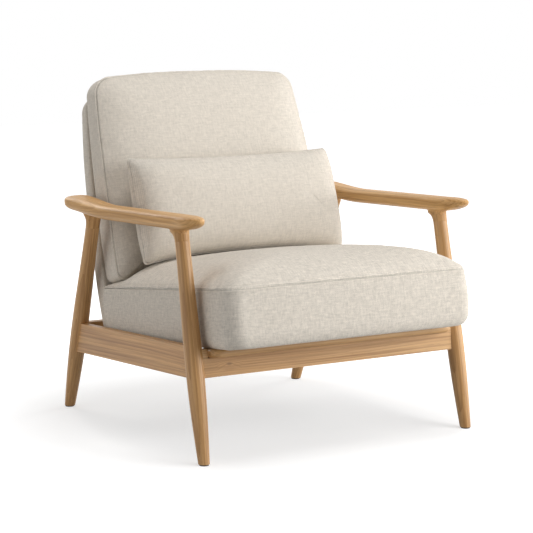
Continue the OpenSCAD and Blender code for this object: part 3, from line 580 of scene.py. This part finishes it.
def stitches(name, path, outward, length=3.6, gap=1.6, radius=0.42):
    """Row of stitches along a closed path: each is a six-sided bead drawn out along its stretch of
    the path, thin at both ends, half sunk in the cloth."""
    way = way_round(path)
    count = int(way[-1] // (length + gap))
    middles = (np.arange(count) + 0.5) * way[-1] / count
    ring = np.array([-0.5, -0.3, 0.3, 0.5])
    thick = np.array([0.25, 1.0, 1.0, 0.25]) * radius
    s = np.mod(middles[:, None] + ring[None] * length, way[-1])
    at, up = (np.stack([np.interp(s, way, [*line, line[0]]) for line in lines.T], -1)
              for lines in (path, outward))
    up /= np.linalg.norm(up, axis=-1, keepdims=True)
    along = np.gradient(at, axis=1)
    along /= np.maximum(np.linalg.norm(along, axis=-1, keepdims=True), 1e-9)
    side = np.cross(along, up)
    angle = np.arange(6) * np.pi / 3
    points = (at[:, :, None] + thick[None, :, None, None]
              * (side[:, :, None] * np.cos(angle)[None, None, :, None]
                 + up[:, :, None] * np.sin(angle)[None, None, :, None]))
    tube = tube_faces(4, 6)
    ends = np.array([[0, 1, 2, 3], [0, 3, 4, 5], [18, 21, 20, 19], [18, 23, 22, 21]])
    one = np.concatenate([tube, ends[:, ::-1]])
    faces = (one[None] + (np.arange(count) * 24)[:, None, None]).reshape(-1, 4)
    return make_mesh(name, points.reshape(-1, 3), faces)


def pad(name, make, seam, node, body, material, stand, free, cloth, seed, pucker=0.7):
    """One cushion: its cover in its own frame, the cloth move, uneven puckers along the seam, the
    seam's groove and lips. seam holds the groove's depth, the lip on each side and how far the
    groove lies from the ring where the panels meet (0 for a plain seam, more for a flange). free
    says where the cloth is loose in the simulation and, when shaping, where seams and puckers show.
    cloth holds the simulation's pressure, shrinkage and furthest move in millimetres."""
    cover = make()
    d = (cover.down - cover.down[cover.top]).ravel()
    moved = cloth_move(cover, free(cover.points), *cloth)
    moved[:len(d)] *= (1 - np.exp(-(d / HOLD) ** 2))[:, None]
    points = cover.points + moved
    ups = point_normals(points, cover.quads)
    way = way_round(cover.points[cover.top * LOOP:(cover.top + 1) * LOOP])
    s = np.tile(way[:-1], cover.rows)
    uneven = waves(s, way[-1], seed, 14, 46)
    broad = waves(s + d * 0.6, way[-1], seed + 20, 60, 180)
    depth, before, after, flange = seam
    off = np.abs(d)
    groove = np.exp(-((off - flange) / GROOVE) ** 2)
    drawn = pucker * uneven * np.exp(-off / PUCKER) * (1 - np.exp(-off / 4))
    drawn += 0.5 * pucker * broad * np.exp(-off / FOLD)
    lip = np.where(d < 0, before, after) * np.exp(-((off - flange - LIP_AT) / LIP) ** 2)
    shift = np.zeros(len(points))
    shift[:len(d)] = drawn - depth * groove + lip
    points = points + ups * (shift * free(cover.points, True))[:, None]
    obj = make_mesh(name, tilted(points, *stand), cover.quads, cover.uv)
    obj.data.materials.append(material)
    # painted shade along the bottom of each seam: a bell curve across it, which darkens the linen
    seam_shade = np.zeros(len(points))
    seam_shade[:len(d)] = np.exp(-((off - flange) / LINE) ** 2)
    point_values(obj, "seam_shade", seam_shade)
    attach(obj, body)
    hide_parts(node)
    return obj, cover, points


# ---- the four soft pieces

# slope in degrees and place of the frame that each piece is shaped in
SEAT = (7.0, (0.0, -323.81, 253.0))
BACK = (17.0, (0.0, 200.25, 188.65))
PILLOW = (18.5, (0.0, 121.35, 511.43))
SOFT = 0.4
# how far the rings of a crowned panel lie inside its seam
PANEL = [0, 1.2, 2.4, 3.6, 5, 7, 9.5, 13, 18, 24, 31, 39, 48, 58, 70, 83, 97, 112, 128]


def with_height(loop, z):
    """Flat loop (x, y) raised to z, which is a number or one height per point."""
    return np.column_stack([loop, np.broadcast_to(z, len(loop))])


SEAT_FRONT_W, SEAT_REAR_W, SEAT_DEEP, SEAT_OVER = 653.4, 637.9, 528.0, 82.0
BOXING, SEAT_CROWN, SEAT_REACH, EDGE_ROUND = 131.0, 67.0, 293, 26


def seat_loop(z, inset):
    """Seat cushion's outline at a height: its rear side leans with the back cushion."""
    rear = SEAT_DEEP - 3 + z * math.tan(math.radians(9.5)) + (0.7 * -inset if inset < 0 else 0)
    return outline(SEAT_FRONT_W / 2, SEAT_REAR_W / 2, -SEAT_OVER, rear, r0=40, r1=26, inset=inset,
                   pull=(1.5, 1.5, 1.0))


def seat_hang(x, y, z):
    """Sag of the cushion in front of the nosing, gone by 70 mm up, and of its front corners beside
    the nosing's ends, gone by 40 mm up."""
    corner = ease((np.abs(x) - 296) / 22) * (1 - ease((y - 40) / 60))
    return (1.5 * ease((-y - 22) / 25) * (1 - np.minimum(z / 70, 1))
            + 1.2 * corner * (1 - np.minimum(z / 40, 1)))


def seat_rise(y, inset):
    """Crown of the seat's top: H (1 - (1 - inset / reach)^5)^0.75, pressed down under the back
    cushion."""
    crown = (1 - (1 - np.minimum(inset / SEAT_REACH, 1)) ** 5) ** 0.75
    return SEAT_CROWN * crown * (1 - 0.6 * ease((y - SEAT_DEEP + 140) / 110))


def seat_cover():
    """Seat cushion: bottom panel with a rounded edge, boxing that swells between its seams, and a
    high crown."""
    insets = [*PANEL, 145]
    under = [160, 130, 100, 78, 62, 50, 42, 38]
    heights = [0, 1, 3, 6, 10, 15, 21, 28, 36, 45, 55, 65, 75, 85, 94, 102, 109, 115, 118, 120.5,
               122.5, 124, 125.3, 126.6, 127.8, 128.8, 129.7, 130.4]
    loops = []
    for d in under:
        flat = seat_loop(0, d)
        loops.append(with_height(flat, SOFT - seat_hang(*flat.T, 0)))
    for z in heights:
        round_off = 16 * (1 - math.sqrt(1 - max(0, 1 - z / EDGE_ROUND) ** 2))
        flat = seat_loop(z, round_off - 5 * math.sin(math.pi * z / BOXING))
        loops.append(with_height(flat, max(z, SOFT) - seat_hang(*flat.T, z)))
    for d in insets:
        flat = seat_loop(BOXING, d)
        loops.append(with_height(flat, BOXING + seat_rise(flat[:, 1], d)))
    last = patch(loops[-1])
    last[..., 2] = BOXING + seat_rise(last[..., 1], patch_depth(insets[-1], SEAT_REACH))
    return Cover(loops, patch(loops[0]), last, (0, 1), len(under), len(under) + len(heights))


def seat_free(p, shaping=False):
    """Where the seat's cloth is loose: not underneath, nor where the other cushions stand."""
    loose = ease((p[:, 2] - 12) / 30)
    return loose if shaping else loose * (1 - ease((p[:, 1] - 400) / 30))


linen_seat = linen("linen_seat", weave=1.5)
linen_back = linen("linen_back", seed=1.3, line=0.3)
linen_pillow = linen("linen_pillow", seed=2.9)
linen_shell = linen("linen_shell", seed=4.1)
sewing = thread("sewing_thread")

seat, seat_form, seat_points = pad(
    "seat_cover", seat_cover, (2.6, 0.5, 0.8, 0.0), "seat_cushion", "loose_seat", linen_seat, SEAT,
    seat_free, (2.0, 0.004, 5.0), seed=11)


BACK_LIFT, BACK_H, BACK_W, BACK_TAPER = 142.0, 498.0, 599.9, 36.0


def back_loop(inset):
    """Back cushion's outline: it narrows upwards and its bottom edge arches over the seat."""
    arch = 40 * max(0.0, 1 - inset / 240)
    return outline(BACK_W / 2, (BACK_W - BACK_TAPER) / 2, BACK_LIFT, BACK_LIFT + BACK_H, r0=18, r1=46,
                   inset=inset, pull=(arch, -5, -9))


def back_deep(z):
    """Back cushion's thickness between its seams: less towards the top."""
    return 72 - 14 * ease((z - BACK_LIFT - 150) / 360)


def back_rise(z, inset):
    """Crown of the back's front: H (1 - e^(-inset / 42)), with H growing from 36 behind the pillow
    to 50 above it."""
    return (36 + 14 * ease((z - 300) / 140)) * (1 - np.exp(-inset / 42))


def back_ring(k, inset, rise=0.0):
    """Ring of the back cushion at a share k of its thickness, with its front pushed out by rise."""
    flat = back_loop(inset)
    return np.column_stack([flat[:, 0], -SOFT - k * back_deep(flat[:, 1]) - rise, flat[:, 1]])


def back_cover():
    """Back cushion: flat rear panel against the shell, narrow boxing, crowned front."""
    shares = (0.16, 0.25, 0.35, 0.45, 0.55, 0.65, 0.75, 0.82, 0.87, 0.9, 0.92, 0.935, 0.948, 0.96,
              0.97, 0.98, 0.988, 0.995)
    loops = [back_ring(0, d) for d in (150, 110, 80, 55, 38, 26, 18, 12)]
    loops += [back_ring(k, d) for k, d in ((0.012, 8.5), (0.03, 5), (0.06, 2.6), (0.1, 1))]
    loops += [back_ring(k, -3.5 * math.sin(math.pi * k)) for k in shares]
    top = len(loops)
    loops += [back_ring(1, d, back_rise(back_loop(d)[:, 1], d)) for d in PANEL]
    last = patch(loops[-1])
    depth = patch_depth(PANEL[-1], BACK_H / 2 - 10)
    last[..., 1] = -SOFT - back_deep(last[..., 2]) - back_rise(last[..., 2], depth)
    return Cover(loops, patch(loops[0]), last, (0, 2), 8, top)


def back_free(p, shaping=False):
    """Where the back cushion's cloth is loose: not against the shell nor on the seat."""
    loose = ease((-p[:, 1] - 8) / 20)
    return loose if shaping else loose * ease((p[:, 2] - 215) / 30)


back, back_form, back_points = pad(
    "back_cover", back_cover, (1.8, 2.8, 0.4, 0.0), "back_cushion", "loose_back", linen_back, BACK,
    back_free, (2.0, 0.004, 5.0), seed=31)


PILLOW_W, PILLOW_H, PILLOW_FRONT, PILLOW_REAR = 564.0, 260.0, 66.0, 62.0
PILLOW_ARCH, PILLOW_DIP = 17.5, 8


def pillow_loop(inset):
    """Pillow's outline: a rectangle whose sides draw in between its corners."""
    pull = (PILLOW_ARCH * max(0.0, 1 - inset / 90), 3, PILLOW_DIP * max(0.0, 1 - inset / 60))
    return outline(PILLOW_W / 2, PILLOW_W / 2, -PILLOW_H / 2, PILLOW_H / 2, r0=9, r1=9, inset=inset,
                   pull=pull)


def pillow_rise(x, z, inset):
    """Share of the full thickness at a place: (1 - u^8)^0.5 (1 - v^3.2)^0.55 with u and v the shares
    of the way to the side and to the drawn-in long edge, sharpened to a knife edge within 14 mm."""
    u = np.minimum(np.abs(2 * x / PILLOW_W), 1)
    draw = 1 - u ** BOW
    low, high = PILLOW_ARCH * draw - PILLOW_H / 2, PILLOW_H / 2 - PILLOW_DIP * draw
    v = np.minimum(np.abs(2 * z - low - high) / (high - low), 1)
    edge = np.sqrt(1 - (1 - np.minimum(inset / 14, 1)) ** 2)
    return edge * (1 - u ** 8) ** 0.5 * (1 - v ** 3.2) ** 0.55


def pillow_ring(inset, full):
    """Ring of the pillow at an inset, pushed to the front (full > 0) or the rear."""
    x, z = pillow_loop(inset).T
    return np.column_stack([x, -full * pillow_rise(x, z, inset), z])


def pillow_cover():
    """Lumbar pillow: two full faces that meet at a sewn edge."""
    insets = [0.5, 1.2, 2, 3, 4, 5, 6, 7, 8, 9.2, 11, 14, 18, 23, 29, 36, 44, 53, 63, 74, 85, 96]
    loops = [pillow_ring(d, -PILLOW_REAR) for d in insets[::-1]]
    top = len(loops)
    loops += [pillow_ring(0, 0)] + [pillow_ring(d, PILLOW_FRONT) for d in insets]
    first, last = patch(loops[0]), patch(loops[-1])
    for end, full in ((first, PILLOW_REAR), (last, -PILLOW_FRONT)):
        end[..., 1] = full * pillow_rise(end[..., 0], end[..., 2], insets[-1])
    return Cover(loops, first, last, (0, 2), top, top)


def pillow_free(p, shaping=False):
    """Where the pillow's cloth is loose: not where it leans on the back nor where it stands."""
    if shaping:
        return np.ones(len(p))
    return (1 - ease((p[:, 1] - 25) / 25)) * ease((p[:, 2] + 112) / 25)


pillow, pillow_form, pillow_points = pad(
    "pillow_cover", pillow_cover, (2.0, 0.5, 0.5, 6.0), "lumbar_pillow", "loose_pillow", linen_pillow,
    PILLOW, pillow_free, (2.5, 0.003, 6.0), seed=51, pucker=0.8)


SHELL_L, SHELL_DROP, SHELL_W, SHELL_TAPER = 632.0, 24.0, 605.9, 34.0
SHELL_THICK, SHELL_CUT = 44.0, 0.0237342


def shell_loop(inset):
    """Back shell's outline, narrowing upwards with a slightly bowed top and sides."""
    return outline(SHELL_W / 2, (SHELL_W - SHELL_TAPER) / 2, -SHELL_DROP, SHELL_L - SHELL_DROP,
                   r0=26, r1=44, inset=inset, pull=(0, -12, -6))


def shell_ring(k, inset, bulge=0.0):
    """Ring of the shell at a share k of its thickness, which tapers towards the top."""
    x, z = shell_loop(inset).T
    thick = SHELL_THICK - SHELL_CUT * (z + SHELL_DROP)
    return np.column_stack([x, k * thick + bulge * ease((z - 120) / 200), z])


def shell_cover():
    """Back shell: a firm slab in a tight cover, its rear panel slightly domed."""
    edge = [(0.012, 6.5), (0.03, 4.6), (0.06, 3), (0.1, 1.8), (0.15, 0.8), (0.22, 0)]
    edge += [(k, -math.sin(math.pi * (k - 0.22) / 0.56)) for k in (0.3, 0.4, 0.5, 0.6, 0.7)]
    edge += [(0.78, 0), (0.85, 0.8), (0.9, 1.8), (0.94, 3), (0.97, 4.6), (0.988, 6.5)]
    loops = [shell_ring(0, d) for d in (60, 40, 26, 17, 12, 9)] + [shell_ring(k, d) for k, d in edge]
    top = len(loops)
    insets = (9, 10.4, 11.8, 13.2, 15, 18, 22, 28, 36, 48, 64, 84, 110, 140, 170)
    loops += [shell_ring(1, d, 6 * (1 - math.exp(-(d - 9) / 60))) for d in insets]
    return Cover(loops, patch(loops[0]), patch(loops[-1]), (0, 2), 5, top)


def shell_free(p, shaping=False):
    """The shell's cover is glued tight: only its edge and its rear panel above the rail have play."""
    if not shaping:
        return np.zeros(len(p))
    return ease((p[:, 1] - 4) / 10) * np.where(p[:, 1] > 30, ease((p[:, 2] - 90) / 40), 1.0)


shell = pad(
    "shell_cover", shell_cover, (2.0, 0.5, 0.5, 0.0), "back_shell", "frame", linen_shell, BACK,
    shell_free, (0.0, 0.0, 0.0), seed=71, pucker=0.35)[0]


# ---- arms and nosing

def end_round(d, length):
    """Quarter ellipse: 0 at an end, 1 from the given length inwards."""
    return np.sqrt(np.clip(1 - (1 - np.minimum(d / length, 1)) ** 2, 0, 1))


def bar_shape(y):
    """Half width, thickness, top and middle of the arm's bar at a place along it. The bar widens
    and rises towards the paddle and thins to both tips."""
    u, v = y - ARM_Y0 + NOSE, ARM_Y1 + TAIL - y
    paddle = ease((y - ARM_Y1 + 100) / 210)
    half = (ARM_W + (PADDLE_W - ARM_W) * ease((y - ARM_Y1 + 150) / 220)) / 2
    half = half * np.minimum(end_round(u, NOSE_W), end_round(v, TAIL_W))
    thick = ARM_T * np.minimum(end_round(u, NOSE_T), end_round(v, TAIL_T))
    top = ARM_H + 2 - (y - ARM_Y0) * math.tan(math.radians(ARM_SLOPE)) + PADDLE_RISE * paddle
    top = top - TIP_DROP * (1 - end_round(u, NOSE_W)) - TIP_DROP * (1 - end_round(v, TAIL_T))
    x = ARM_X0 + (ARM_X1 - ARM_X0) * (y - ARM_Y0) / (ARM_Y1 - ARM_Y0)
    x = x + NOSE_OUT * ease((ARM_Y0 - 10 - y) / NOSE)
    return half, thick, top, x, paddle


def arm_bar(side, rows=150, count=72):
    """Arm's bar: rounded sections, each a superellipse, from the nose to the paddle."""
    t = (1 - np.cos(np.pi * np.linspace(0.012, 0.988, rows))) / 2
    y = (ARM_Y0 - NOSE + (ARM_Y1 + TAIL - ARM_Y0 + NOSE) * t)[:, None]
    half, thick, top, x, paddle = bar_shape(y)
    a = (2 * np.pi * np.arange(count) / count)[None]
    c, s = (np.sign(w) * np.abs(w) ** SECTION for w in (np.cos(a), np.sin(a)))
    z = top - 0.42 * thick + thick * np.where(c > 0, 0.42, 0.58) * c
    z = z - side * half * s * math.tan(math.radians(PADDLE_TILT)) * paddle
    return np.stack([side * x + half * s, y + 0 * s, z], -1)


def neck(side, end, rows=24, count=72):
    """Neck under the arm: a round that flares up into the bar, more to the rear than to the front.
    It starts 6 mm below its joint with the leg and is cut off there later."""
    h = np.concatenate([[-6.0], np.linspace(0, NECK_H, rows), [NECK_H + 0.5 * ARM_T]])[:, None]
    f = 1 - np.sqrt(1 - (np.clip(h / NECK_H, 0, 1) * 0.98) ** 2)
    front, rear = FRONT_FLARE * f, REAR_FLARE[end] * f
    a = (2 * np.pi * np.arange(count) / count)[None]
    points = np.stack([(NECK_R + SIDE_FLARE * f) * np.cos(a),
                       (NECK_R + (front + rear) / 2) * np.sin(a) + (rear - front) / 2,
                       NECK_AT[end] + GAP + h + 0 * a], -1)
    return placed(leg_frame(side, end), points)


def closed_tube(rings):
    """Points and faces of rings closed by a fan at each end."""
    rows, count = rings.shape[:2]
    points = np.concatenate([rings.reshape(-1, 3), rings[0].mean(0)[None], rings[-1].mean(0)[None]])
    j = np.arange(count)
    k = (j + 1) % count
    first = np.stack([np.full(count, rows * count), k, j], -1)
    end = (rows - 1) * count
    last = np.stack([np.full(count, rows * count + 1), end + j, end + k], -1)
    return points, tube_faces(rows, count).tolist() + first.tolist() + last.tolist()


def carved(side_name, side):
    """Arm as one sculpted piece: the bar and its two necks are fused by a fine voxel remesh, and the
    joins are eased by smoothing, as a carver's rasp does."""
    points, faces = np.zeros((0, 3)), []
    for rings in (arm_bar(side), neck(side, "front"), neck(side, "rear")):
        more, tube = closed_tube(rings)
        faces += [[i + len(points) for i in face] for face in tube]
        points = np.concatenate([points, more])
    mesh = bpy.data.meshes.new("armrest_" + side_name)
    mesh.from_pydata((points * 0.001).tolist(), [], faces)
    obj = put("arm_" + side_name, mesh)
    bm = bmesh.new()
    bm.from_mesh(mesh)
    bmesh.ops.recalc_face_normals(bm, faces=bm.faces)
    bm.to_mesh(mesh)
    bm.free()
    fuse = obj.modifiers.new("fuse", "REMESH")
    fuse.mode, fuse.voxel_size = "VOXEL", VOXEL
    rasp = obj.modifiers.new("rasp", "SMOOTH")
    rasp.factor, rasp.iterations = 0.5, 9
    shown = obj.evaluated_get(bpy.context.evaluated_depsgraph_get())
    obj.data = bpy.data.meshes.new_from_object(shown)
    obj.modifiers.clear()
    return obj


def cut_necks(mesh, side):
    """Cuts both necks flat at their joints with the legs."""
    bm = bmesh.new()
    bm.from_mesh(mesh)
    for end in FOOT:
        leg = leg_frame(side, end)
        joint = placed(leg, np.array([0, 0, NECK_AT[end] + GAP])) * 0.001
        cut = bmesh.ops.bisect_plane(bm, geom=[*bm.verts, *bm.edges, *bm.faces], plane_co=joint,
                                     plane_no=-leg[:3, 2], clear_outer=True)
        rim = [part for part in cut["geom_cut"] if isinstance(part, bmesh.types.BMEdge)]
        bmesh.ops.contextual_create(bm, geom=rim)
    bm.to_mesh(mesh)
    bm.free()


def arm(side_name):
    """Armrest with its own board coordinates: the grain runs along the bar and bends down into the
    necks, whose tone nears that of the legs."""
    side = SIDES[side_name]
    obj = carved(side_name, side)
    cut_necks(obj.data, side)
    grain = Vector((0, 1, -0.035)).normalized()
    places = np.zeros(len(obj.data.vertices) * 3)
    obj.data.vertices.foreach_get("co", places)
    places = places.reshape(-1, 3)
    _, y, z = places.T * 1000
    _, thick, top, _, _ = bar_shape(np.clip(y, ARM_Y0 - NOSE + 1, ARM_Y1 + TAIL - 1))
    below = ease((top - thick + 2 - z) / 12)[:, None]
    board = places.copy()
    for end in FOOT:
        leg = leg_frame(side, end)
        middle = placed(leg, np.array([0, 0, NECK_AT[end] + NECK_H])) * 0.001
        turn = np.array(Vector(leg[:3, 2]).rotation_difference(grain).to_matrix())
        near = below * (np.abs(places[:, 1:2] - middle[1]) < 0.06)
        board += near * ((places - middle) @ turn.T + middle - places)
    point_values(obj, "board", board)
    point_values(obj, "neck", ease((top - thick + 8 - z) / 24))
    obj.data.materials.append(oak("oak_arm_" + side_name, grain, seed=1.0 + side * 0.37, marks=1.1,
                                  shine=0.15, own=True))
    obj.data.polygons.foreach_set("use_smooth", np.full(len(obj.data.polygons), True))
    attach(obj, "frame")
    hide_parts("armrest_" + side_name)


for side_name in SIDES:
    arm(side_name)


def nosing_board():
    """Nosing: the seat frame's front edge board, its own edges rounded over to a radius of 8 mm."""
    half, deep, thick, over = 326.0, 78, 20.0, 8.0
    turns = np.radians(np.linspace(0, 90, 9))
    profile = [(14.0, -thick)]
    profile += [(over * (1 - math.sin(t)), over * (1 - math.cos(t)) - thick) for t in turns]
    profile += [(d, -z - thick) for d, z in profile[::-1]]
    loops = [with_height(outline(half, half, 0, deep, r0=20, r1=6, inset=d), z) for d, z in profile]
    form = Cover(loops, patch(loops[0]), patch(loops[-1]), (0, 1))
    obj = make_mesh("nosing", tilted(form.points, *SEAT), form.quads)
    obj.data.materials.append(oak("oak_nosing", (1, 0, 0), seed=10.1, warm=0.1))
    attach(obj, "frame")
    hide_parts("seat_nosing")


nosing_board()


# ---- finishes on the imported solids

KNOT = (-0.2729, -0.303, 0.2128)
for side_name, side in SIDES.items():
    for number, end in enumerate(FOOT):
        dress(end + "_leg_" + side_name, oak(
            "oak_" + end + "_" + side_name, tuple(leg_frame(side, end)[:3, 2]),
            seed=2 + side * 0.6 + number, warm=LEG_WARM, marks=1.2, shine=0.3))
    dress("side_rail_" + side_name, oak(
        "oak_side_" + side_name, (side * -0.03, 1, -0.06),
        seed=5 + side * 0.8, warm=0.6, marks=1.2, shine=0.3))
    dress("seat_batten_" + side_name, plywood("batten_" + side_name))
dress("front_rail", oak("oak_front", (1, 0, 0), seed=7.3, warm=0.1, marks=1.3, shine=0.3, knot=KNOT))
dress("rear_rail", oak("oak_rear", (1, 0, 0), seed=8.9))
dress("webbing_straps", webbing("elastic_webbing"))
dress("foot_glides", plastic("glide_plastic", (74, 66, 58)))
for material, names in (
        (plywood("birch_blocks"), ("corner_blocks", "back_mounting_blocks", "back_panel")),
        (steel("zinc_steel"), ("corner_screws", "back_bolts")),
        (foam("cut_foam"), ("seat_foam", "back_foam", "pillow_filling"))):
    for name in names:
        dress(name, material)


# ---- stitching

def stitch_row(name, form, points, off, stand, body):
    """Stitches that follow a ring of a cover, off rings past its seam."""
    ring = slice((form.top + off) * LOOP, (form.top + off + 1) * LOOP)
    line, ups = points[ring], point_normals(points, form.quads)[ring]
    outward = tilted(line + ups, *stand) - tilted(line, *stand)
    obj = stitches(name, tilted(line + ups * 0.1, *stand), outward)
    obj.data.materials.append(sewing)
    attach(obj, body)


stitch_row("seat_stitches", seat_form, seat_points, 4, SEAT, "loose_seat")
stitch_row("back_stitches", back_form, back_points, 4, BACK, "loose_back")
stitch_row("pillow_stitches", pillow_form, pillow_points, 9, PILLOW, "loose_pillow")


# ---- camera, floor and light

# sensor width in millimetres; the photo's focal length and width in pixels
SENSOR, FOCAL, WIDTH = 36, 2050.16, 533
lens = bpy.data.cameras.new("camera")
lens.sensor_width = SENSOR
lens.lens = SENSOR * FOCAL / WIDTH
lens.clip_start, lens.clip_end = 0.1, 100
camera = put("camera", lens)
camera.location = (-2.5463, -4.1571, 1.0743)
camera.rotation_euler = (math.radians(90 - 8.18), 0, math.radians(-31.58))
scene.camera = camera


WHITE = (1, 1, 1, 1)


def seen_rays(n):
    """1 for rays from the camera and for those seen in or through a shiny surface."""
    paths = n.add("LightPath").outputs
    shiny = n.math("MAXIMUM", paths["Is Glossy Ray"], paths["Is Transmission Ray"])
    return n.math("MAXIMUM", paths["Is Camera Ray"], shiny)


def floor():
    """Pale floor. Where it is looked at it also glows a little, more away from the chair, so that it
    meets the white background and the chair's shadow stays on it, soft and light."""
    across = np.linspace(-9000, 9000, 13)
    x, y = np.meshgrid(across, across, indexing="ij")
    points = np.stack([x, y, 0 * x - 0.05], -1).reshape(-1, 3)
    obj = make_mesh("floor", points, grid_quads(np.arange(x.size).reshape(x.shape)))
    n = new_material("floor")
    away = n.vector("LENGTH", {0: n.place()})["Value"]
    glow = n.add("Emission", {"Color": WHITE, "Strength": n.spread(away, 0.5, 1.15, 0.56, 1.0)})
    pale = n.add("BsdfDiffuse", {"Color": (0.52, 0.52, 0.52, 1)})
    both = n.add("AddShader", {0: pale.outputs[0], 1: glow.outputs[0]})
    lit = n.add("BsdfDiffuse", {"Color": (0.5, 0.5, 0.5, 1)})
    shown = n.add("MixShader", {"Fac": seen_rays(n), 1: lit.outputs[0], 2: both.outputs[0]})
    obj.data.materials.append(n.finish(shown.outputs[0]))


def studio():
    """Soft even light all round; white where the background itself is seen."""
    scene.world = bpy.data.worlds.new("studio")
    n = Nodes(scene.world)
    soft, bright = (n.add("Background", {"Color": WHITE, "Strength": level}).outputs[0]
                    for level in (0.17, 1.0))
    shown = n.add("MixShader", {"Fac": seen_rays(n), 1: soft, 2: bright})
    n.add("OutputWorld", {"Surface": shown.outputs[0]})


floor()
studio()


MIDDLE = Vector((0, 0, 0.4))


def lamp(name, place, width, height, power):
    """Soft box at a place in metres, turned to the chair's middle."""
    data = bpy.data.lights.new(name, "AREA")
    data.shape, data.size, data.size_y, data.energy = "RECTANGLE", width, height, power
    obj = put(name, data)
    obj.location = place
    obj.rotation_euler = (MIDDLE - Vector(place)).to_track_quat("-Z", "Y").to_euler()


lamp("key", (2.05, -3.05, 1.4), 2.2, 1.7, 89)
lamp("strip", (3.1, -1.9, 0.7), 0.8, 1.3, 40)
lamp("right", (3.4, 1.0, 1.5), 1.6, 2.2, 40)
lamp("left", (-3.4, 0.5, 1.1), 3.6, 2.2, 40)
lamp("top", (0.3, -0.8, 4.0), 2.0, 2.0, 66)
lamp("rear", (-0.4, 3.5, 2.2), 2.0, 2.0, 36)
scene.view_settings.view_transform = "Standard"
